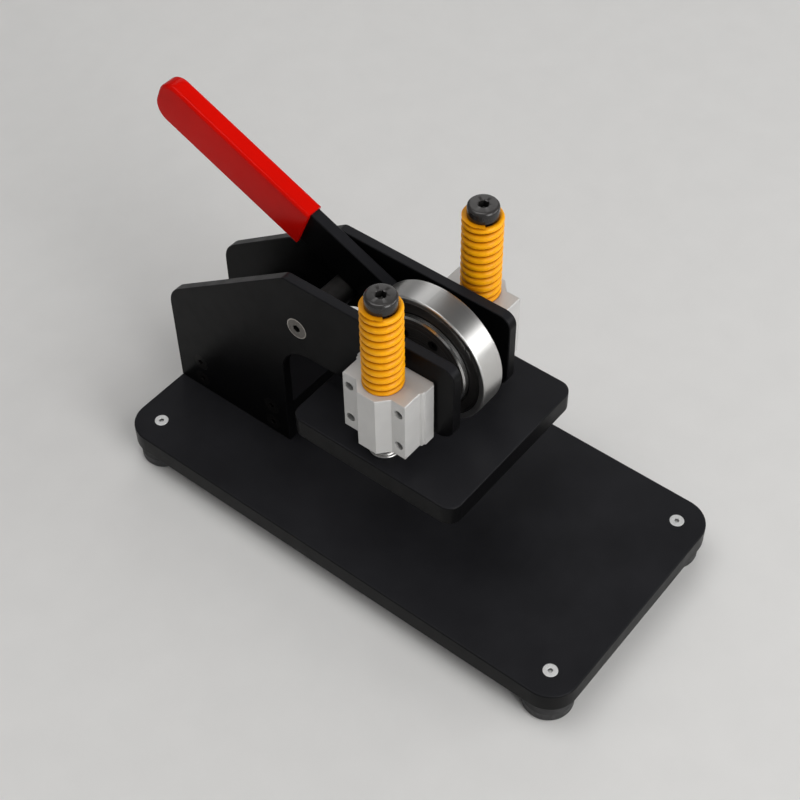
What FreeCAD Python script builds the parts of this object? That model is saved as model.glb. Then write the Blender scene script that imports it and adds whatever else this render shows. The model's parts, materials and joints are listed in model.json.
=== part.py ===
"""Manual die cutting machine: a lever press with an eccentric bearing over a sprung plate.

Millimetres. The origin is the centre of the base plate's top face, +X is to the right,
+Y to the rear, where the lever points, and +Z is up.
"""
import FreeCAD, Part
import Sketcher
import math
import os
import re

VECTOR = FreeCAD.Vector
LEFT, RIGHT = -1, 1
SIDES = (("left", LEFT), ("right", RIGHT))

SIZES = {
    "base plate": {
        "base_width": 180, "base_length": 360, "base_thick": 15,
        "base_corner": 20, "base_edge": 1,
    },
    "feet under the base plate, and the screws that hold them": {
        "foot_inset": 19, "foot_d": 33, "foot_height": 17, "foot_round": 3,
        "foot_recess_d": 14, "foot_recess_depth": 9,
        "foot_screw_d": 5, "foot_screw_head_d": 9.4, "foot_screw_socket": 3,
        "foot_washer_d": 10, "foot_washer_thick": 1,
        "foot_nut_flats": 8, "foot_nut_height": 5, "foot_screw_tip": 1,
    },
    "side plates": {
        "plate_gap": 47, "plate_thick": 7, "plate_edge": 0.5,
        "plate_front": 56, "plate_top": 154.6, "nose_bottom": 95,
        "heel_front": 80, "apex_back": 73.4, "slope_foot": 80.7,
        "heel_round": 20, "apex_round": 6, "nose_round": 8, "chin_round": 12,
        "throat_round": 25,
    },
    "foot block between the side plates": {
        "foot_block_length": 95, "foot_block_height": 34,
        "heel_screw_front": 94.5, "heel_screw_back": 159,
        "heel_screw_low": 9, "heel_screw_high": 25,
        "heel_screw_d": 6, "heel_screw_head_d": 12, "heel_screw_socket": 4,
        "heel_screw_length": 20,
        "base_bolt_front": 105, "base_bolt_back": 150, "base_bolt_side": 13,
        "base_bolt_d": 8, "base_bolt_head_d": 13, "base_bolt_head": 8,
        "base_bolt_socket": 6, "base_bolt_grip": 16,
    },
    "tie rod, on which the lever rests": {
        "tie_back": 65, "tie_d": 18, "tie_rest_gap": 0.3,
        "tie_screw_d": 8, "tie_screw_head_d": 15.4, "tie_screw_socket": 5,
        "tie_screw_length": 20,
    },
    "lever pivot": {
        "post_y": -17.4, "pivot_z": 115.5, "throw": 10.5, "throw_angle": 115,
        "shaft_d": 20, "bush_wall": 1.5, "bush_space": 1, "spacer_wall": 5,
    },
    "ball bearing that rolls on the pressure plate": {
        "bearing_d": 90, "bearing_bore": 55, "bearing_width": 18,
        "bearing_edge": 1, "race_d": 72.5, "ball_d": 11.6, "ball_play": 0.25,
        "ball_count": 11, "inner_land_d": 66.2, "outer_land_d": 78.8,
        "seal_d": 82, "seal_thick": 1.3, "seal_sink": 0.4, "seal_play": 0.3,
        "cage_width": 13.6, "cage_wall": 2.6,
    },
    "eccentric hub and keeper flange": {
        "hub_shoulder_d": 62, "hub_shoulder": 4, "keeper_d": 65.6,
        "keeper_thick": 3.3, "keeper_edge": 1,
        "keeper_screw_ring": 21.5, "keeper_screw_length": 12,
        "hub_screw_ring": 16.7, "hub_screw_near": 45, "hub_screw_far": 115,
        "hub_screw_grip": 9,
    },
    "lever": {
        "lever_angle": 23.6, "arm_thick": 8, "arm_height": 28, "arm_drop": 7.1,
        "lug_d": 44, "arm_reach": 236.2, "arm_end_round": 10, "arm_edge": 0.6,
        "grip_start": 112, "grip_wall": 1.9, "grip_left_wall": 3.6,
        "grip_right_wall": 1.5, "grip_round": 2.5,
    },
    "bearing blocks on the side plates": {
        "block_bottom": 92.9, "block_height": 45.9,
        "block_heel_width": 47.4, "block_heel": 1.7,
        "block_back_width": 50.8, "block_back": 9.2,
        "rib_width": 48.8, "rib_start": 10, "rib_end": 11.4, "ear_start": 12.2,
        "ear_width": 46, "ear_depth": 25.8,
        "boss_foot_width": 26.4, "boss_face_width": 13.3, "boss_depth": 33,
        "post_reach": 16.5, "block_edge": 0.4,
        "block_screw_side": 18.2, "block_screw_rise": 13.6, "block_sink": 9,
        "block_screw_d": 3, "block_screw_head_d": 5.5, "block_screw_head": 3,
        "block_screw_socket": 2.5,
    },
    "small screws of the hub and the keeper": {
        "small_screw_d": 4, "small_head_d": 7, "small_head": 4, "small_socket": 3,
    },
    "ball bushings and circlips": {
        "bushing_d": 21, "bushing_length": 30, "bushing_lip": 3,
        "circlip_thick": 1.2, "circlip_wall": 2,
    },
    "guide posts and collars": {
        "post_d": 12, "post_head_d": 19.5, "post_head": 8, "post_head_round": 1.6,
        "post_socket": 6, "post_socket_depth": 5,
        "post_thread_d": 10, "post_thread": 13,
        "collar_d": 16.6, "collar_gap": 0.3, "collar_edge": 0.6,
        "collar_flange_d": 20, "collar_flange": 1.8,
    },
    "die springs": {
        "spring_d": 25, "spring_wire": 3.8, "spring_length": 61.2,
        "spring_turns": 10.5, "spring_end_turns": 1, "spring_end_gap": 0.7,
        "spring_seat_gap": 0.3,
    },
    "pressure plate": {
        "press_width": 126, "press_thick": 15, "press_corner": 9, "press_edge": 1,
        "roller_gap": 0.3,
    },
    "clearances shared by many pieces": {
        "fit_gap": 0.05, "side_gap": 0.3, "head_gap": 0.3, "tip_gap": 0.5,
    },
}

PLACES = {
    "plate_inner": "plate_gap / 2",
    "plate_outer": "plate_inner + plate_thick",
    "foot_x": "base_width / 2 - foot_inset",
    "foot_y": "base_length / 2 - foot_inset",
    "foot_top": "-base_thick",
    "foot_seat": "foot_top - foot_height + foot_recess_depth",
    "heel_back": "base_length / 2",
    "pivot_y": "post_y - throw * cos(throw_angle)",
    "roller_z": "pivot_z + throw * sin(throw_angle)",
    "centre_angle": "throw_angle - lever_angle",
    "hub_y": "throw * cos(centre_angle)",
    "hub_z": "throw * sin(centre_angle)",
    "bush_d": "shaft_d + 2 * fit_gap + 2 * bush_wall",
    "half_bearing": "bearing_width / 2",
    "arm_left": "half_bearing + hub_shoulder",
    "arm_right": "arm_left + arm_thick",
    "grip_left": "arm_left - grip_left_wall",
    "grip_right": "arm_right + grip_right_wall",
    "keeper_left": "-half_bearing - keeper_thick",
    "arm_low": "-arm_drop - arm_height / 2",
    "arm_high": "-arm_drop + arm_height / 2",
    "tie_drop": "arm_low - tie_rest_gap - tie_d / 2",
    "tie_z": "pivot_z + (tie_drop + (tie_back - pivot_y) * sin(lever_angle)) / cos(lever_angle)",
    "post_x": "plate_outer + post_reach",
    "block_top": "block_bottom + block_height",
    "block_middle": "block_bottom + block_height / 2",
    "bushing_top": "block_top - bushing_lip",
    "circlip_top": "bushing_top - bushing_length",
    "spring_top": "block_top + spring_length",
    "press_top": "roller_z - bearing_d / 2 - roller_gap",
    "ear_face": "plate_outer + ear_depth",
    "block_screw_seat": "ear_depth - block_sink",
    "race_gap": "ball_d / 2 + ball_play",
}

doc = FreeCAD.newDocument("die_cutting_machine")
sheet = doc.addObject("Spreadsheet::Sheet", "Sizes")
nodes = {}


def fill_sheet():
    """One row for each driving dimension: its name, and its value under the same alias."""
    row = 0
    for heading, entries in SIZES.items():
        row += 1
        sheet.set(f"A{row}", heading)
        for alias, number in entries.items():
            row += 1
            sheet.set(f"A{row}", alias)
            sheet.set(f"B{row}", str(number))
            sheet.setAlias(f"B{row}", alias)
    doc.recompute()


def formula(text):
    """The text with every size and place written out as cells of the sheet."""
    def spelled(match):
        word = match.group(0)
        if word in PLACES:
            return f"({formula(PLACES[word])})"
        return f"Sizes.{word}" if word in ALIASES else word
    return re.sub(r"[a-z_]+\b", spelled, text)


def value(text):
    """The number that a formula gives with the sheet as it stands."""
    return float(sheet.evalExpression(formula(text)))


def bind(thing, field, text):
    thing.setExpression(field, formula(text))


def new_body(name):
    body = doc.addObject("PartDesign::Body", name)
    body.Label = name
    return body


def new_sketch(body, plane, level="0"):
    """A sketch on one of the body's own origin planes, moved along the plane's normal."""
    flat = next(item for item in body.Origin.OriginFeatures if item.Role == plane)
    sketch = body.newObject("Sketcher::SketchObject", "Sketch")
    sketch.AttachmentSupport = [(flat, "")]
    sketch.MapMode = "FlatFace"
    bind(sketch, "AttachmentOffset.Base.z", level)
    return sketch


def dimension(sketch, kind, place, text, number):
    index = sketch.addConstraint(Sketcher.Constraint(kind, *place, number))
    bind(sketch, f"Constraints[{index}]", text)


def add_polygon(sketch, corners):
    """A closed outline, each corner dimensioned from the sketch's origin."""
    points = [(value(across), value(up)) for across, up in corners]
    count = len(corners)
    first = sketch.GeometryCount
    for index, point in enumerate(points):
        following = points[(index + 1) % count]
        sketch.addGeometry(Part.LineSegment(VECTOR(*point, 0), VECTOR(*following, 0)), False)
    for index in range(count):
        ends = (first + index, 2, first + (index + 1) % count, 1)
        sketch.addConstraint(Sketcher.Constraint("Coincident", *ends))
    for index, (across, up) in enumerate(corners):
        corner = (-1, 1, first + index, 1)
        dimension(sketch, "DistanceX", corner, across, points[index][0])
        dimension(sketch, "DistanceY", corner, up, points[index][1])


def add_rectangle(sketch, left, bottom, right, top):
    add_polygon(sketch, ((left, bottom), (right, bottom), (right, top), (left, top)))


def add_circle(sketch, across, up, diameter):
    centre = VECTOR(value(across), value(up), 0)
    size = value(diameter)
    circle = Part.Circle(centre, VECTOR(0, 0, 1), size / 2)
    index = sketch.addGeometry(circle, False)
    dimension(sketch, "Diameter", (index,), diameter, size)
    dimension(sketch, "DistanceX", (-1, 1, index, 3), across, centre.x)
    dimension(sketch, "DistanceY", (-1, 1, index, 3), up, centre.y)


def add_hexagon(sketch, flats):
    spoke = f"{flats} / 2 / cos(30)"
    add_polygon(sketch, [(f"{spoke} * cos({60 * turn})", f"{spoke} * sin({60 * turn})")
                         for turn in range(6)])


def add_feature(body, kind, sketch):
    feature = body.newObject("PartDesign::" + kind, kind)
    feature.Profile = sketch
    sketch.Visibility = False
    body.Tip = feature
    return feature


def pad(body, sketch, length, downward=False):
    feature = add_feature(body, "Pad", sketch)
    feature.Reversed = downward
    bind(feature, "Length", length)
    doc.recompute()


def pocket(body, sketch, depth=None, upward=False):
    """A cut against the sketch's normal, or through everything when no depth is given."""
    before = body.Tip.Shape.Volume
    feature = add_feature(body, "Pocket", sketch)
    if depth is None:
        feature.Type = "ThroughAll"
        feature.SideType = "Symmetric"
    else:
        feature.Reversed = upward
        bind(feature, "Length", depth)
    doc.recompute()
    if feature.Shape.Volume >= before:
        raise RuntimeError(f"a pocket of {body.Label} cuts nothing")


def turn(body, sketch, axis, kind="Revolution"):
    feature = add_feature(body, kind, sketch)
    feature.ReferenceAxis = (sketch, [axis])
    feature.Angle = 360
    doc.recompute()


def dress(body, kind, test, size):
    """A fillet or a chamfer on each edge of the body that passes the test."""
    shape = body.Tip.Shape
    names = [f"Edge{index + 1}" for index, edge in enumerate(shape.Edges) if test(edge)]
    if not names:
        raise RuntimeError(f"{body.Label} has no such edge")
    base = body.Tip
    feature = body.newObject("PartDesign::" + kind, kind)
    feature.Base = (base, names)
    bind(feature, "Radius" if kind == "Fillet" else "Size", size)
    body.Tip = feature
    doc.recompute()


def along(axis, across, up):
    """A test for the straight edge along an axis that stands at the given place."""
    others = [index for index in range(3) if index != axis]
    wanted = (value(across), value(up))

    def test(edge):
        ends = [vertex.Point for vertex in edge.Vertexes]
        return len(ends) == 2 and all(
            abs(end[index] - place) < 0.01
            for end in ends for index, place in zip(others, wanted))
    return test


def on_level(axis, levels, inside=None):
    """A test for edges in the given planes; a radius keeps only those outside it."""
    wanted = [value(level) for level in levels]

    def test(edge):
        box = edge.BoundBox
        low = (box.XMin, box.YMin, box.ZMin)[axis]
        high = (box.XMax, box.YMax, box.ZMax)[axis]
        flat = high - low < 0.001 and any(abs(low - level) < 0.01 for level in wanted)
        return flat and (inside is None or outside(edge, inside))
    return test


def outside(edge, diameter):
    """True unless the edge is a circle of the given diameter or smaller."""
    closed = len(edge.Vertexes) == 1
    return not (closed and edge.Curve.Radius <= value(diameter) / 2 + 0.01)


def ring(name, outer, inner, low, high, axis="V_Axis"):
    """A ring turned about Z, or about X when the axis is the horizontal one."""
    body = new_body(name)
    sketch = new_sketch(body, "XZ_Plane")
    if axis == "V_Axis":
        add_rectangle(sketch, f"({inner}) / 2", low, f"({outer}) / 2", high)
    else:
        add_rectangle(sketch, low, f"({inner}) / 2", high, f"({outer}) / 2")
    turn(body, sketch, axis)
    return body


def put(thing, across="0", back="0", up="0"):
    bind(thing, "Placement.Base.x", across)
    bind(thing, "Placement.Base.y", back)
    bind(thing, "Placement.Base.z", up)


def put_on_lever(thing):
    """Lever pieces are drawn level about the pivot and tilted to the lever's rest."""
    thing.Placement.Rotation = FreeCAD.Rotation(VECTOR(1, 0, 0), value("lever_angle"))
    bind(thing, "Placement.Rotation.Angle", "lever_angle")
    put(thing, "0", "pivot_y", "pivot_z")


def put_on_roller(thing):
    put(thing, "0", "post_y", "roller_z")


def keep(name, thing):
    thing.Label = name
    nodes[name] = thing


def copies(name, pattern, places, direction=(0, 0, 1)):
    """One node of separate solids: links to the pattern, its Z axis along a direction."""
    links = []
    for index, place in enumerate(places):
        across, back, up = place[:3]
        heading = VECTOR(*(place[3] if len(place) > 3 else direction))
        link = doc.addObject("App::Link", f"{name}_{index + 1}")
        link.LinkedObject = pattern
        link.Placement = FreeCAD.Placement(
            VECTOR(), FreeCAD.Rotation(VECTOR(0, 0, 1), heading))
        put(link, across, back, up)
        links.append(link)
    group = doc.addObject("Part::Compound", name)
    group.Links = links
    doc.recompute()
    keep(name, group)
    return group


def screw_pattern(name, thread, head_d, head, length, socket, shape="cap"):
    """A screw standing on its tip; the head's top is the origin."""
    body = new_body(name)
    sketch = new_sketch(body, "XZ_Plane")
    if shape == "countersunk":
        neck = [(f"{thread} / 2", f"({thread} - {head_d}) / 2 - {head}"),
                (f"{thread} / 2", f"-({length})")]
        tip = f"-({length})"
    else:
        neck = [(f"{thread} / 2", f"-{head}"), (f"{thread} / 2", f"-{head} - ({length})")]
        tip = f"-{head} - ({length})"
    add_polygon(sketch, [("0", "0"), (f"{head_d} / 2", "0"), (f"{head_d} / 2", f"-{head}")]
                + neck + [("0", tip)])
    turn(body, sketch, "V_Axis")
    hexagon = new_sketch(body, "XY_Plane")
    add_hexagon(hexagon, socket)
    pocket(body, hexagon, f"{socket} / 2")
    return body


def corner_places(height):
    return [(f"{side} * foot_x", f"{end} * foot_y", height)
            for side in (LEFT, RIGHT) for end in (-1, 1)]


def build_base_plate():
    body = new_body("base_plate")
    outline = new_sketch(body, "XY_Plane")
    half_w, half_l = "base_width / 2", "base_length / 2"
    add_rectangle(outline, f"-{half_w}", f"-{half_l}", half_w, half_l)
    pad(body, outline, "base_thick", downward=True)
    for side in (LEFT, RIGHT):
        for end in (-1, 1):
            corner = along(2, f"{side} * {half_w}", f"{end} * {half_l}")
            dress(body, "Fillet", corner, "base_corner")
    dress(body, "Fillet", on_level(2, ["0", "-base_thick"]), "base_edge")
    holes = new_sketch(body, "XY_Plane")
    for across, back, _ in corner_places("0"):
        add_circle(holes, across, back, "foot_screw_d + 2 * fit_gap")
    pocket(body, holes)
    rims = on_level(2, ["0"])
    narrow = value("foot_screw_d + 2 * fit_gap") / 2
    dress(body, "Chamfer",
          lambda edge: rims(edge) and len(edge.Vertexes) == 1
          and abs(edge.Curve.Radius - narrow) < 0.01,
          "(foot_screw_head_d - foot_screw_d) / 2")
    bolts = new_sketch(body, "XY_Plane")
    for across, back, _ in base_bolt_places():
        add_circle(bolts, across, back, "base_bolt_d + 2 * fit_gap")
    pocket(body, bolts)
    sinks = new_sketch(body, "XY_Plane", "-base_thick")
    for across, back, _ in base_bolt_places():
        add_circle(sinks, across, back, "base_bolt_head_d + 2 * head_gap")
    pocket(body, sinks, "base_bolt_head + tip_gap", upward=True)
    keep("base_plate", body)


def base_bolt_places():
    height = "-base_thick + tip_gap"
    return [(f"{side} * base_bolt_side", back, height)
            for side in (LEFT, RIGHT) for back in ("base_bolt_front", "base_bolt_back")]


def build_feet():
    """A moulded rubber foot, recessed from below for its washer and lock nut."""
    names = ("foot_front_left", "foot_rear_left", "foot_front_right", "foot_rear_right")
    for name, (across, back, _) in zip(names, corner_places("0")):
        body = new_body(name)
        sketch = new_sketch(body, "XZ_Plane")
        bore = "foot_screw_d / 2 + fit_gap"
        add_polygon(sketch, (
            (bore, "0"), ("foot_d / 2", "0"), ("foot_d / 2", "-foot_height"),
            ("foot_recess_d / 2", "-foot_height"),
            ("foot_recess_d / 2", "foot_recess_depth - foot_height"),
            (bore, "foot_recess_depth - foot_height")))
        turn(body, sketch, "V_Axis")
        lower = on_level(2, ["-foot_height"], inside="foot_recess_d")
        dress(body, "Fillet", lower, "foot_round")
        put(body, across, back, "foot_top")
        keep(name, body)


def build_foot_fasteners():
    length = ("base_thick + foot_height - foot_recess_depth + foot_washer_thick"
              " + foot_nut_height + foot_screw_tip")
    screw = screw_pattern("foot_screw", "foot_screw_d", "foot_screw_head_d", "fit_gap",
                          length, "foot_screw_socket", "countersunk")
    copies("foot_screws", screw, corner_places("0"))
    washer = ring("foot_washer", "foot_washer_d", "foot_screw_d + 2 * fit_gap",
                  "-foot_washer_thick", "0")
    copies("foot_washers", washer, corner_places("foot_seat"))
    nut = new_body("foot_nut")
    outline = new_sketch(nut, "XY_Plane")
    add_hexagon(outline, "foot_nut_flats")
    add_circle(outline, "0", "0", "foot_screw_d + 2 * fit_gap")
    pad(nut, outline, "foot_nut_height", downward=True)
    copies("foot_nuts", nut, corner_places("foot_seat - foot_washer_thick"))


def heel_screw_places():
    """The side screws of the foot block, as back and up, the same in both plates."""
    return [(back, up) for back in ("heel_screw_front", "heel_screw_back")
            for up in ("heel_screw_low", "heel_screw_high")]


def block_screw_places():
    return [(f"post_y + {across} * block_screw_side", f"block_middle + {rise} * block_screw_rise")
            for across in (-1, 1) for rise in (-1, 1)]


def build_side_plates():
    """A plate with a sloping back, a nose over the work and a deep open throat."""
    outline = (
        ("heel_back", "0"), ("heel_back", "slope_foot"), ("apex_back", "plate_top"),
        ("-plate_front", "plate_top"), ("-plate_front", "nose_bottom"),
        ("heel_front", "nose_bottom"), ("heel_front", "0"))
    rounds = ("", "heel_round", "apex_round", "nose_round", "chin_round", "throat_round", "")
    for name, side in SIDES:
        body = new_body(f"{name}_side_plate")
        near = "plate_inner" if side == RIGHT else "-plate_outer"
        far = "plate_outer" if side == RIGHT else "-plate_inner"
        sketch = new_sketch(body, "YZ_Plane", near)
        add_polygon(sketch, outline)
        pad(body, sketch, "plate_thick")
        for (back, up), radius in zip(outline, rounds):
            if radius:
                dress(body, "Fillet", along(0, back, up), radius)
        dress(body, "Chamfer", on_level(0, [near, far]), "plate_edge")
        holes = new_sketch(body, "YZ_Plane", near)
        add_circle(holes, "pivot_y", "pivot_z", "shaft_d + 2 * fit_gap")
        add_circle(holes, "tie_back", "tie_z", "tie_screw_d + 2 * fit_gap")
        for back, up in heel_screw_places():
            add_circle(holes, back, up, "heel_screw_d + 2 * fit_gap")
        for back, up in block_screw_places():
            add_circle(holes, back, up, "block_screw_d + 2 * fit_gap")
        pocket(body, holes)
        rims = on_level(0, [f"{side} * plate_outer"])
        for screw in ("heel_screw", "tie_screw"):
            narrow = value(f"{screw}_d + 2 * fit_gap") / 2
            dress(body, "Chamfer",
                  lambda edge: rims(edge) and len(edge.Vertexes) == 1
                  and abs(edge.Curve.Radius - narrow) < 0.01,
                  f"({screw}_head_d - {screw}_d) / 2")
        keep(body.Label, body)


def build_foot_block():
    body = new_body("rear_foot_block")
    outline = new_sketch(body, "XY_Plane")
    add_rectangle(outline, "-plate_inner", "heel_front", "plate_inner",
                  "heel_front + foot_block_length")
    pad(body, outline, "foot_block_height")
    bores = new_sketch(body, "XY_Plane")
    for across, back, _ in base_bolt_places():
        add_circle(bores, across, back, "base_bolt_d + 2 * fit_gap")
    pocket(body, bores, "base_bolt_grip + tip_gap", upward=True)
    for side in (LEFT, RIGHT):
        taps = new_sketch(body, "YZ_Plane", f"{side} * plate_inner")
        for back, up in heel_screw_places():
            add_circle(taps, back, up, "heel_screw_d + 2 * fit_gap")
        pocket(body, taps, "heel_screw_length - plate_thick + tip_gap", upward=side == LEFT)
    keep("rear_foot_block", body)

    screw = screw_pattern("heel_screw", "heel_screw_d", "heel_screw_head_d", "fit_gap",
                          "heel_screw_length", "heel_screw_socket", "countersunk")
    copies("foot_block_screws", screw, [
        (f"{side} * plate_outer", back, up, (side, 0, 0))
        for side in (LEFT, RIGHT) for back, up in heel_screw_places()])
    reach = "base_thick - base_bolt_head - tip_gap + base_bolt_grip"
    bolt = screw_pattern("base_bolt", "base_bolt_d", "base_bolt_head_d", "base_bolt_head",
                         reach, "base_bolt_socket")
    copies("base_bolts", bolt, base_bolt_places(), (0, 0, -1))


def build_tie_rod():
    body = new_body("tie_rod")
    rod = new_sketch(body, "YZ_Plane", "-plate_inner")
    add_circle(rod, "tie_back", "tie_z", "tie_d")
    pad(body, rod, "plate_gap")
    for side in (LEFT, RIGHT):
        tap = new_sketch(body, "YZ_Plane", f"{side} * plate_inner")
        add_circle(tap, "tie_back", "tie_z", "tie_screw_d + 2 * fit_gap")
        pocket(body, tap, "tie_screw_length - plate_thick + tip_gap", upward=side == LEFT)
    keep("tie_rod", body)
    screw = screw_pattern("tie_screw", "tie_screw_d", "tie_screw_head_d", "fit_gap",
                          "tie_screw_length", "tie_screw_socket", "countersunk")
    copies("tie_rod_screws", screw, [
        (f"{side} * plate_outer", "tie_back", "tie_z", (side, 0, 0))
        for side in (LEFT, RIGHT)])


def build_pivot():
    body = new_body("pivot_shaft")
    sketch = new_sketch(body, "YZ_Plane", "-plate_outer")
    add_circle(sketch, "pivot_y", "pivot_z", "shaft_d")
    pad(body, sketch, "2 * plate_outer")
    keep("pivot_shaft", body)
    spans = {"left": ("-plate_inner", "keeper_left - side_gap"),
             "right": ("arm_right + side_gap", "plate_inner")}
    for name, (low, high) in spans.items():
        spacer = ring(f"{name}_spacer", "shaft_d + 2 * spacer_wall", "shaft_d + 2 * fit_gap",
                      low, high, "H_Axis")
        put(spacer, "0", "pivot_y", "pivot_z")
        keep(spacer.Label, spacer)


def build_bearing_blocks():
    """An extruded block: a broad back with a rib, two ears with screws, and a faceted boss."""
    half = (("0", "block_heel_width"), ("block_heel", "block_back_width"),
            ("block_back", "block_back_width"), ("rib_start", "rib_width"),
            ("rib_end", "rib_width"), ("ear_start", "ear_width"), ("ear_depth", "ear_width"),
            ("ear_depth", "boss_foot_width"), ("boss_depth", "boss_face_width"))
    for name, side in SIDES:
        body = new_body(f"{name}_bearing_block")
        sketch = new_sketch(body, "XY_Plane", "block_bottom")
        rear = [(f"{side} * (plate_outer + {out})", f"post_y + {width} / 2")
                for out, width in half]
        front = [(f"{side} * (plate_outer + {out})", f"post_y - {width} / 2")
                 for out, width in reversed(half)]
        add_polygon(sketch, rear + front)
        pad(body, sketch, "block_height")
        dress(body, "Chamfer", on_level(2, ["block_bottom", "block_top"]), "block_edge")
        bore = new_sketch(body, "XY_Plane", "block_bottom")
        add_circle(bore, f"{side} * post_x", "post_y", "bushing_d + 2 * fit_gap")
        pocket(body, bore, "block_height - bushing_lip", upward=True)
        neck = new_sketch(body, "XY_Plane", "block_bottom")
        add_circle(neck, f"{side} * post_x", "post_y", "post_d + 2 * side_gap")
        pocket(body, neck)
        level = f"{side} * ear_face"
        shanks = new_sketch(body, "YZ_Plane", level)
        sinks = new_sketch(body, "YZ_Plane", level)
        for back, up in block_screw_places():
            add_circle(shanks, back, up, "block_screw_d + 2 * fit_gap")
            add_circle(sinks, back, up, "block_screw_head_d + 2 * head_gap")
        pocket(body, shanks, "ear_depth", upward=side == LEFT)
        pocket(body, sinks, "block_sink", upward=side == LEFT)
        keep(body.Label, body)

        bushing = ring(f"{name}_ball_bushing", "bushing_d", "post_d + 2 * fit_gap",
                       "bushing_top - bushing_length", "bushing_top")
        put(bushing, f"{side} * post_x", "post_y")
        keep(bushing.Label, bushing)

    circlip = ring("circlip", "bushing_d", "bushing_d - 2 * circlip_wall",
                   "-circlip_thick", "0")
    copies("bushing_circlips", circlip, [
        (f"{side} * post_x", "post_y", "circlip_top") for side in (LEFT, RIGHT)])
    reach = "block_screw_seat + plate_thick - tip_gap"
    screw = screw_pattern("block_screw", "block_screw_d", "block_screw_head_d",
                          "block_screw_head", reach, "block_screw_socket")
    copies("block_screws", screw, [
        (f"{side} * (plate_outer + block_screw_seat + block_screw_head)", back, up, (side, 0, 0))
        for side in (LEFT, RIGHT) for back, up in block_screw_places()])


def build_posts():
    for name, side in SIDES:
        body = new_body(f"{name}_guide_post")
        sketch = new_sketch(body, "XZ_Plane")
        top = "spring_top + post_head"
        add_polygon(sketch, (
            ("0", top), ("post_head_d / 2", top), ("post_head_d / 2", "spring_top"),
            ("post_d / 2", "spring_top"), ("post_d / 2", "press_top"),
            ("post_thread_d / 2", "press_top"),
            ("post_thread_d / 2", "press_top - post_thread"),
            ("0", "press_top - post_thread")))
        turn(body, sketch, "V_Axis")
        dress(body, "Fillet", on_level(2, [top]), "post_head_round")
        socket = new_sketch(body, "XY_Plane", top)
        add_hexagon(socket, "post_socket")
        pocket(body, socket, "post_socket_depth")
        put(body, f"{side} * post_x", "post_y")
        keep(body.Label, body)

        collar = new_body(f"{name}_post_collar")
        section = new_sketch(collar, "XZ_Plane")
        bore, rim = "post_d / 2 + fit_gap", "press_top + collar_flange"
        stop = "block_bottom - collar_gap"
        add_polygon(section, (
            (bore, "press_top"), ("collar_flange_d / 2", "press_top"),
            ("collar_flange_d / 2", rim), ("collar_d / 2", rim),
            ("collar_d / 2", stop), (bore, stop)))
        turn(collar, section, "V_Axis")
        dress(collar, "Chamfer", on_level(2, [stop], inside="post_d + 2 * fit_gap"),
              "collar_edge")
        put(collar, f"{side} * post_x", "post_y")
        keep(collar.Label, collar)


def build_pressure_plate():
    body = new_body("pressure_plate")
    outline = new_sketch(body, "XY_Plane", "press_top")
    half = "press_width / 2"
    add_rectangle(outline, f"-{half}", f"post_y - {half}", half, f"post_y + {half}")
    pad(body, outline, "press_thick", downward=True)
    for side in (LEFT, RIGHT):
        for end in (-1, 1):
            corner = along(2, f"{side} * {half}", f"post_y + {end} * {half}")
            dress(body, "Fillet", corner, "press_corner")
    dress(body, "Fillet", on_level(2, ["press_top", "press_top - press_thick"]), "press_edge")
    taps = new_sketch(body, "XY_Plane", "press_top")
    for side in (LEFT, RIGHT):
        add_circle(taps, f"{side} * post_x", "post_y", "post_thread_d + 2 * fit_gap")
    pocket(body, taps, "post_thread + tip_gap")
    keep("pressure_plate", body)


def hub_screw_places():
    """Four screws round the pivot, on the thick side of the hub."""
    turns = [f"centre_angle + {sign} * {spread}"
             for spread in ("hub_screw_near", "hub_screw_far") for sign in (-1, 1)]
    return [(f"hub_screw_ring * cos({turned})", f"hub_screw_ring * sin({turned})")
            for turned in turns]


def keeper_screw_places():
    """Three screws round the hub's own centre, clear of the pivot."""
    turns = [f"centre_angle + {spread}" for spread in (-60, 0, 60)]
    return [(f"hub_y + keeper_screw_ring * cos({turned})",
             f"hub_z + keeper_screw_ring * sin({turned})") for turned in turns]


def build_lever():
    """The flat bar runs below the pivot and ends in a round lug about it."""
    body = new_body("lever_arm")
    bar = new_sketch(body, "YZ_Plane", "arm_left")
    add_rectangle(bar, "0", "arm_low", "arm_reach", "arm_high")
    pad(body, bar, "arm_thick")
    for edge in ("arm_low", "arm_high"):
        dress(body, "Fillet", along(0, "arm_reach", edge), "arm_end_round")
    lug = new_sketch(body, "YZ_Plane", "arm_left")
    add_circle(lug, "0", "0", "lug_d")
    pad(body, lug, "arm_thick")
    dress(body, "Chamfer", on_level(0, ["arm_left", "arm_right"]), "arm_edge")
    bore = new_sketch(body, "YZ_Plane", "arm_right")
    add_circle(bore, "0", "0", "bush_d")
    for back, up in hub_screw_places():
        add_circle(bore, back, up, "small_screw_d + 2 * fit_gap")
    pocket(body, bore)
    sinks = new_sketch(body, "YZ_Plane", "arm_right")
    for back, up in hub_screw_places():
        add_circle(sinks, back, up, "small_head_d + 2 * head_gap")
    pocket(body, sinks, "small_head + head_gap")
    put_on_lever(body)
    keep("lever_arm", body)


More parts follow.
